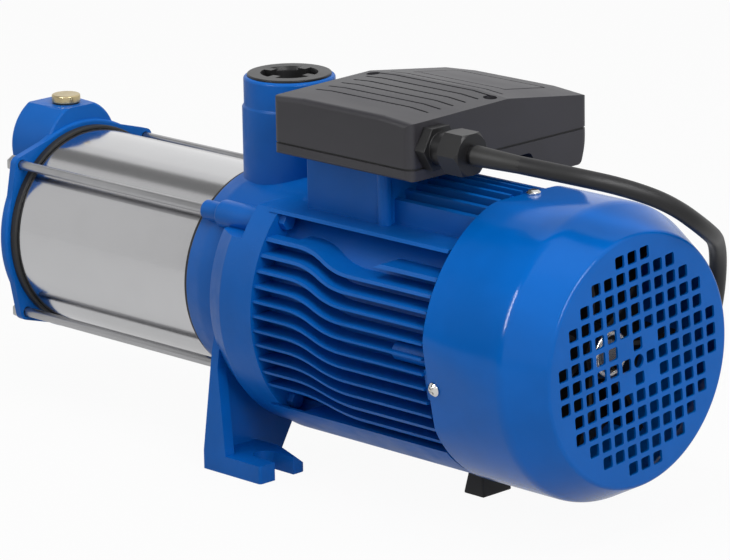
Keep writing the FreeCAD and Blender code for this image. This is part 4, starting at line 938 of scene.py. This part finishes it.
@dataclass
class FanCover:
    """The drawn cover, its grille and its screws."""

    shop: Workshop
    rim_x: float = 137.0
    face_x: float = 207.5
    radius: float = 71.4
    wall: float = 1.2
    cone_length: float = 21.0
    face_radius: float = 60.6
    face_margin: float = 6.0
    shoulder_radius: float = 14.0
    shoulder_reach: float = 4.5
    face_edge: float = 2.4
    edge_runs: int = 10
    steps: int = 192
    ring_pitch: float = 2.4
    screw: PanScrew = PanScrew(head_radius=3.5, head_height=2.3, shank_radius=2.0, shank_length=8.0)
    screw_x: float = 141.5
    screw_turn: float = 20.0
    screw_turn_step: float = 31.0
    flat_height: float = 68.4
    flat_rise: float = 4.0 / 46.0
    flat_blend: float = 0.55
    blend_reach: float = 8.0
    flat_end: float = 1.0
    screw_angles: tuple[float, ...] = (90.0, 190.0, 350.0)
    hole_pitch: float = 8.4
    hole_size: float = 6.1
    hole_corner: float = 0.95
    punch_depth: float = 8.0
    hole_limit: int = 37
    centre_hole: float = 3.3
    centre_steps: int = 32
    grille_turn: float = 5.3
    clamp_radius: float = 11.6
    clamp_bore: float = 8.7
    clamp_rounds: tuple[float, float, float] = (0.6, 1.8, 0.9)
    clamp_runs: int = 5
    clamp_steps: int = 64

    def sheet(self) -> bmesh.types.BMesh:
        """Draws the outside of the cover: drum, shoulder, cone, face and three soft flats.

        Returns:
            An open sheet.
        """
        knee = self.face_x - self.cone_length
        profile = eased([
            *stations((self.rim_x, self.radius), (knee - self.shoulder_reach, self.radius), self.ring_pitch),
            (knee, self.radius, self.shoulder_radius),
            (self.face_x, self.face_radius, self.face_edge),
            (self.face_x, self.face_radius - self.face_margin, 0.0)], self.edge_runs)
        bm = lathe(profile, steps=self.steps)
        rim = [edge for edge in bm.edges if edge.is_boundary and edge.verts[0].co.x > knee * MM]
        cap = bmesh.ops.contextual_create(bm, geom=rim)["faces"][0]
        bmesh.ops.recalc_face_normals(bm, faces=bm.faces)
        bm.normal_update()
        if cap.normal.x < 0:
            bmesh.ops.reverse_faces(bm, faces=bm.faces)
        for vert in bm.verts:
            if vert.co.x < (self.face_x - self.flat_end) * MM:
                self.flatten(vert)
        return bm

    def flatten(self, vert: bmesh.types.BMVert) -> None:
        """Lowers a point onto the nearest flat, with a soft blend at the flat's border.

        Args:
            vert: The point.
        """
        limit = self.flat_height + self.flat_rise * (vert.co.x / MM - self.screw_x)
        for angle in self.screw_angles:
            out = Vector((0.0, math.cos(math.radians(angle)), math.sin(math.radians(angle))))
            height = (vert.co - mm(vert.co.x / MM, 0, SHAFT_HEIGHT)).dot(out) / MM
            over = (height - limit) / self.flat_blend
            if over > -self.blend_reach:
                vert.co -= out * (self.flat_blend * math.log1p(math.exp(over)) * MM)

    def grille(self) -> bmesh.types.BMesh:
        """Sets the bars that punch the face: square holes in a round field, and one round hole.

        Returns:
            All the bars in one mesh.
        """
        reach = math.isqrt(self.hole_limit)
        cutter = bmesh.new()
        for column in range(-reach, reach + 1):
            for row in range(-reach, reach + 1):
                beside = abs(column) == 1 and abs(row) == 1
                if column * column + row * row > self.hole_limit or beside or column == row == 0:
                    continue
                place = Matrix.Translation(mm(self.face_x, column * self.hole_pitch, row * self.hole_pitch))
                added(cutter, square_bar(self.punch_depth, self.hole_size, self.hole_size, self.hole_corner,
                                         place))
        behind, before = (self.face_x + side * self.punch_depth / 2 for side in (-1, 1))
        added(cutter, lathe([(behind, 0.0), (behind, self.centre_hole), (before, self.centre_hole),
                             (before, 0.0)], 0.0, 0.0, self.centre_steps))
        cutter.transform(Matrix.Translation(mm(0, 0, SHAFT_HEIGHT))
                         @ Matrix.Rotation(math.radians(self.grille_turn), 4, "X"))
        return cutter

    def screws(self) -> bmesh.types.BMesh:
        """Sets three pan-head screws, square to the flats.

        Returns:
            The three in one mesh.
        """
        slope = math.atan(self.flat_rise)
        whole = bmesh.new()
        for index, angle in enumerate(self.screw_angles):
            turn = math.radians(angle)
            out = Vector((0.0, math.cos(turn), math.sin(turn)))
            seat = mm(self.screw_x, 0, SHAFT_HEIGHT) + out * (self.flat_height * MM)
            lean = out * math.cos(slope) - X_AXIS * math.sin(slope)
            added(whole, self.screw.placed(seat, lean, self.screw_turn + self.screw_turn_step * index))
        return whole

    def build(self) -> None:
        """Draws the cover, punches its face and dresses the fan behind it."""
        cover = cut_out(self.sheet(), self.grille(), self.wall)
        self.shop.piece(cover, "drawn_cover", "pump", "blue_sheet", "blue_paint", ["fan_cover"], crease=40.0)
        self.shop.piece(self.screws(), "pan_screws", "pump", "nickel", "zinc_steel", ["cover_screws"],
                        crease=40.0)
        self.shop.dress(["fan"], "black_plastic")
        seat, end = (corner.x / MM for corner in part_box("fan_clamp"))
        seat_round, rim_round, bore_round = self.clamp_rounds
        ring = lathe(eased([
            (seat, self.clamp_bore, 0.0), (seat, self.clamp_radius, seat_round),
            (end, self.clamp_radius, rim_round), (end, self.clamp_bore, bore_round),
            (seat, self.clamp_bore, 0.0)], self.clamp_runs), steps=self.clamp_steps)
        self.shop.piece(ring, "clamp_ring", "rotor", "nickel", "zinc_steel", ["fan_clamp"])


@dataclass
class TerminalBox:
    """The dark box on the motor, with its lid, gasket, screws and what is inside."""

    shop: Workshop

    def build(self) -> None:
        """Dresses the box."""
        self.shop.refined("terminal_box_lid", "box_lid", "box_plastic", "box_plastic", edge=0.22)
        self.shop.refined("terminal_box_base", "box_tray", "box_plastic", "box_plastic", edge=0.5)
        self.shop.dress(["terminal_box_gasket"], "black_rubber")
        self.shop.dress(["lid_screws"], "zinc")
        self.shop.dress(["terminal_block"], "strip_plastic")
        self.shop.dress(["capacitor"], "capacitor_can")


@dataclass
class MainsCord:
    """The gland, the cable from it to its coil behind the pump, the sleeve at its exit and the plug."""

    shop: Workshop
    diameter: float = 8.4
    exit_x: float = 141.3
    gland_y: float = -40.5
    gland_height: float = 178.4
    route: tuple[tuple[float, float, float], ...] = (
        (157.0, -40.5, 178.4),
        (191.4, -26.8, 174.0),
        (208.1, -9.9, 168.3),
        (219.3, 9.0, 158.8),
        (220.0, 32.4, 142.4),
        (192.3, 73.7, 123.1),
        (179.0, 86.4, 87.7),
        (168.0, 87.5, 60.0),
        (148.0, 90.0, 26.0),
        (118.0, 93.0, 4.2),
        (80.0, 93.5, 4.2),
        (40.0, 90.5, 4.2),
    )
    coil_x: float = -6.0
    coil_y: float = 136.0
    outer_turn: float = 48.3
    inner_turn: float = 39.7
    layer_height: float = 8.6
    turn_points: int = 16
    coil_crossing: float = 0.3
    climb_reach: float = 16.0
    climb_height: float = 1.4
    plug_tail: tuple[float, float, float] = (-50.0, 87.8, 18.0)
    plug_run: tuple[float, ...] = (14.0, 4.0, -2.0)
    sleeve_length: float = 30.0
    sleeve_wall: float = 0.9
    sleeve_tip: float = -0.15
    runs: int = 12
    bevel_runs: int = 6

    def coil(self) -> list[tuple[float, float, float]]:
        """Lays out the four turns: two side by side on the floor and two on them.

        Returns:
            Their points, in millimetres.
        """
        low = self.diameter / 2
        high = low + self.layer_height
        turns = [(self.outer_turn, low), (self.inner_turn, low), (self.inner_turn, high),
                 (self.outer_turn, high)]
        swell = 1.0 / math.cos(math.pi / self.turn_points)
        points = []
        for turn, (radius, height) in enumerate(turns):
            following = turns[min(turn + 1, len(turns) - 1)]
            for step in range(self.turn_points):
                share = step / self.turn_points
                shift = max(0.0, (share - 1.0 + self.coil_crossing) / self.coil_crossing)
                reach = (radius + (following[0] - radius) * shift) * swell
                angle = 2 * math.pi * share
                points.append((self.coil_x - reach * math.sin(angle), self.coil_y - reach * math.cos(angle),
                               height + (following[1] - height) * shift))
        return points

    def build(self) -> None:
        """Lays the cable, then dresses the gland and the plug."""
        exit_point = (self.exit_x, self.gland_y, self.gland_height)
        tail_x, tail_y, tail_z = self.plug_tail
        top = self.diameter / 2 + self.layer_height
        ending = [(self.coil_x, self.coil_y - self.outer_turn, top),
                  (self.coil_x - self.climb_reach, tail_y, top + self.climb_height),
                  *((tail_x + reach, tail_y, tail_z) for reach in self.plug_run)]
        points = [exit_point, *self.route, *self.coil(), *ending]
        data = bpy.data.curves.new("mains_lead", "CURVE")
        data.dimensions = "3D"
        data.resolution_u = self.runs
        data.bevel_depth = self.diameter / 2 * MM
        data.bevel_resolution = self.bevel_runs
        data.use_fill_caps = True
        spline = data.splines.new("NURBS")
        spline.points.add(len(points) - 1)
        for knot, point in zip(spline.points, points):
            knot.co = (*mm(*point), 1.0)
        spline.order_u = 3
        spline.use_endpoint_u = True
        data.materials.append(self.shop.finish("cable_rubber"))
        lead = linked("mains_lead", data)
        line = line_points(lead)
        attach(lead, "pump")
        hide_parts("mains_cable", "cable_coil")
        relief = self.strain_relief(line)
        plug = self.shop.refined("mains_plug", "lead_plug", "cable_rubber", "cable_rubber", edge=0.8)
        self.shop.refined("gland_body", "gland_socket", "black_plastic", "black_plastic", edge=0.5)
        self.shop.refined("gland_nut", "gland_cap", "black_plastic", "black_plastic", edge=0.9, segments=3)

    def strain_relief(self, line: Sequence[Vector]) -> bpy.types.Object:
        """Moulds the tapered sleeve round the cable where it leaves the gland.

        Args:
            line: The cable's middle line.

        Returns:
            The sleeve.
        """
        points = []
        radii = []
        travelled = 0.0
        for before, here in zip(line, line[1:]):
            travelled += (here - before).length / MM
            if travelled > self.sleeve_length:
                break
            points.append(here)
            thin = 1.0 - travelled / self.sleeve_length
            radii.append(self.diameter / 2 + self.sleeve_tip + (self.sleeve_wall - self.sleeve_tip) * thin)
        return self.shop.piece(sleeve(points, radii), "lead_sleeve", "pump", "black_rubber", "cable_rubber")


@dataclass
class Internals:
    """What the casings hide: the stages, the shaft, the seal, the bearings and the motor's cores."""

    shop: Workshop
    stages: int = 5

    def build(self) -> None:
        """Dresses every hidden node."""
        stages = [f"{kind}_{n}" for kind in ("impeller", "diffuser") for n in range(1, self.stages + 1)]
        bearings = [f"{end}_bearing_{part}" for end in ("front", "rear")
                    for part in ("outer", "inner", "balls")]
        self.shop.dress(["inlet_plate", *stages], "stainless")
        self.shop.dress(["shaft", "shaft_spacers", "impeller_nut"], "turned_steel")
        self.shop.dress(bearings, "ground_steel")
        self.shop.dress(["wave_washer"], "zinc")
        self.shop.dress(["slinger"], "black_rubber")
        self.shop.dress(["seal_seat"], "ceramic")
        self.shop.dress(["seal_head"], "carbon")
        self.shop.dress(["rotor_core", "stator_core"], "core_steel")
        self.shop.dress(["stator_windings"], "copper_wire")


@dataclass(frozen=True)
class Card:
    """A sheet bent round the shaft's axis that only glossy surfaces show.

    Its angles are in degrees above the horizontal, from the side that the camera is on.
    """

    name: str
    start: float
    end: float
    first: float
    last: float
    glow: float
    radius: float = 800.0
    steps: int = 24

    def hang(self) -> None:
        """Makes the sheet and its light."""
        graph = Graph(self.name)
        graph.add_output(graph.add("ShaderNodeEmission", {"Color": (1.0, 1.0, 1.0), "Strength": self.glow}))
        low = math.radians(self.first)
        bm = bmesh.new()
        verts = [bm.verts.new(mm(x, -self.radius * math.cos(low), SHAFT_HEIGHT + self.radius * math.sin(low)))
                 for x in (self.start, self.end)]
        edge = bm.edges.new(verts)
        bmesh.ops.spin(bm, geom=[*verts, edge], cent=mm(0, 0, SHAFT_HEIGHT), axis=X_AXIS,
                       angle=-math.radians(self.last - self.first), steps=self.steps, use_duplicate=False)
        mesh = mesh_of(bm, self.name)
        mesh.materials.append(graph.material)
        card = linked(self.name, mesh)
        card.visible_camera = False
        card.visible_diffuse = False
        card.visible_transmission = False
        card.visible_shadow = False


@dataclass
class Studio:
    """Floor, white surroundings, lamps and the camera at the photograph's angle."""

    azimuth: float = 45.608
    elevation: float = 15.052
    roll: float = -1.0
    focal_pixels: float = 4466.146
    picture_width: float = 730.0
    sensor: float = 36.0
    shift_right: float = 126.2436
    shift_up: float = -37.3044
    distance: float = 2057.6892
    target: tuple[float, float, float] = (207.5, 0.0, 84.0)
    far_clip: float = 100.0
    lamps: tuple[tuple[str, tuple[float, float, float], tuple[float, float], float], ...] = (
        ("top_panel", (200.0, -100.0, 1500.0), (1300.0, 900.0), 13.0),
        ("left_panel", (-1100.0, -1100.0, 700.0), (900.0, 900.0), 3.0),
        ("right_panel", (1500.0, -500.0, 900.0), (700.0, 700.0), 11.0),
    )
    room_light: float = 0.34
    floor_size: float = 20.0
    floor_drop: float = 0.5
    floor_cloth: float = 0.55
    floor_glow: float = 0.95
    floor_shine: float = 0.56
    cards: tuple[Card, ...] = (
        Card("casing_low_card", -2200.0, -760.0, -5.0, 87.0, 0.74),
        Card("casing_dark_card", -2200.0, -500.0, 87.0, 107.0, 0.24),
        Card("casing_high_card", -2200.0, -500.0, 107.0, 119.0, 0.90),
        Card("casting_card", -760.0, -560.0, -4.0, 87.0, 0.36),
        Card("cover_card", -560.0, 60.0, -4.0, 84.0, 0.10),
        Card("streak_card", -120.0, -35.0, 20.0, 46.0, 34.0, 780.0),
        Card("edge_card", 650.0, 950.0, 40.0, 100.0, 16.0, 550.0),
    )

    def camera(self) -> None:
        """Stands the camera where the photograph was taken from."""
        a, e, r = (math.radians(angle) for angle in (self.azimuth, self.elevation, self.roll))
        back = Vector((math.sin(a) * math.cos(e), -math.cos(a) * math.cos(e), math.sin(e)))
        right = Vector((math.cos(a), math.sin(a), 0.0))
        up = back.cross(right)
        side = right * math.cos(r) + up * math.sin(r)
        top = up * math.cos(r) - right * math.sin(r)
        place = Vector(self.target) - side * self.shift_right - top * self.shift_up + back * self.distance
        data = bpy.data.cameras.new("view")
        data.sensor_width = self.sensor
        data.lens = self.focal_pixels / self.picture_width * self.sensor
        data.clip_end = self.far_clip
        camera = linked("view", data)
        matrix = Matrix((side, top, back)).transposed().to_4x4()
        matrix.translation = place * MM
        camera.matrix_world = matrix
        bpy.context.scene.camera = camera

    def seen(self, graph: Graph, in_view: float, in_gloss: float) -> Signal:
        """How much of the plain white shows, which is nothing to the light itself.

        Args:
            graph: The material or world that it is for.
            in_view: How much the camera sees, also through things.
            in_gloss: How much a gloss shows.

        Returns:
            The share of white.
        """
        camera, glossy, through = [graph.add("ShaderNodeLightPath", output=name)
                                   for name in ("Is Camera Ray", "Is Glossy Ray", "Is Transmission Ray")]
        return (camera + through) * in_view + glossy * in_gloss

    def surroundings(self) -> None:
        """A pale floor that keeps a faint shadow, and a white room."""
        graph = Graph("pale_floor")
        cloth = graph.add("ShaderNodeBsdfDiffuse", {"Color": (self.floor_cloth,) * 3})
        glow = graph.add("ShaderNodeEmission", {"Color": (1.0, 1.0, 1.0), "Strength": 1.0})
        share = self.seen(graph, self.floor_glow, self.floor_shine)
        both = graph.add("ShaderNodeMixShader", {0: share, 1: cloth, 2: glow})
        graph.add_output(both)
        bm = bmesh.new()
        bmesh.ops.create_grid(bm, x_segments=1, y_segments=1, size=self.floor_size)
        mesh = mesh_of(bm, "floor")
        mesh.materials.append(graph.material)
        floor = linked("floor", mesh)
        floor.location.z = -self.floor_drop * MM
        world = bpy.data.worlds.new("room")
        bpy.context.scene.world = world
        world.use_nodes = True
        air = Graph.of_tree(world.node_tree)
        plain = air.add("ShaderNodeBackground", {"Color": (1.0, 1.0, 1.0), "Strength": self.room_light})
        white = air.add("ShaderNodeBackground", {"Color": (1.0, 1.0, 1.0), "Strength": 1.0})
        mixed = air.add("ShaderNodeMixShader", {0: self.seen(air, 1.0, 1.0), 1: plain, 2: white})
        air.node("ShaderNodeOutputWorld", {"Surface": mixed})

    def light(self) -> None:
        """Hangs the panels, each turned to the pump."""
        for name, place, size, power in self.lamps:
            data = bpy.data.lights.new(name, "AREA")
            data.shape = "RECTANGLE"
            data.size, data.size_y = (side * MM for side in size)
            data.energy = power
            lamp = linked(name, data)
            lamp.visible_glossy = False
            lamp.location = mm(*place)
            lamp.rotation_euler = (mm(0, 0, SHAFT_HEIGHT) - lamp.location).to_track_quat("-Z", "Y").to_euler()

    def build(self) -> None:
        """Sets the whole studio."""
        bpy.context.scene.view_settings.view_transform = "Standard"
        self.camera()
        self.surroundings()
        for card in self.cards:
            card.hang()
        self.light()


def main() -> None:
    """Builds the pump from its suction end to its cable, then the studio."""
    logging.basicConfig(level=logging.INFO, format="%(name)s: %(message)s")
    shop = Workshop()
    for part in (SuctionEnd(shop), StageCasing(shop), BracketCasting(shop), MotorBody(shop), FanCover(shop),
                 TerminalBox(shop), MainsCord(shop), Internals(shop), Studio()):
        part.build()


if __name__ == "__main__":
    main()
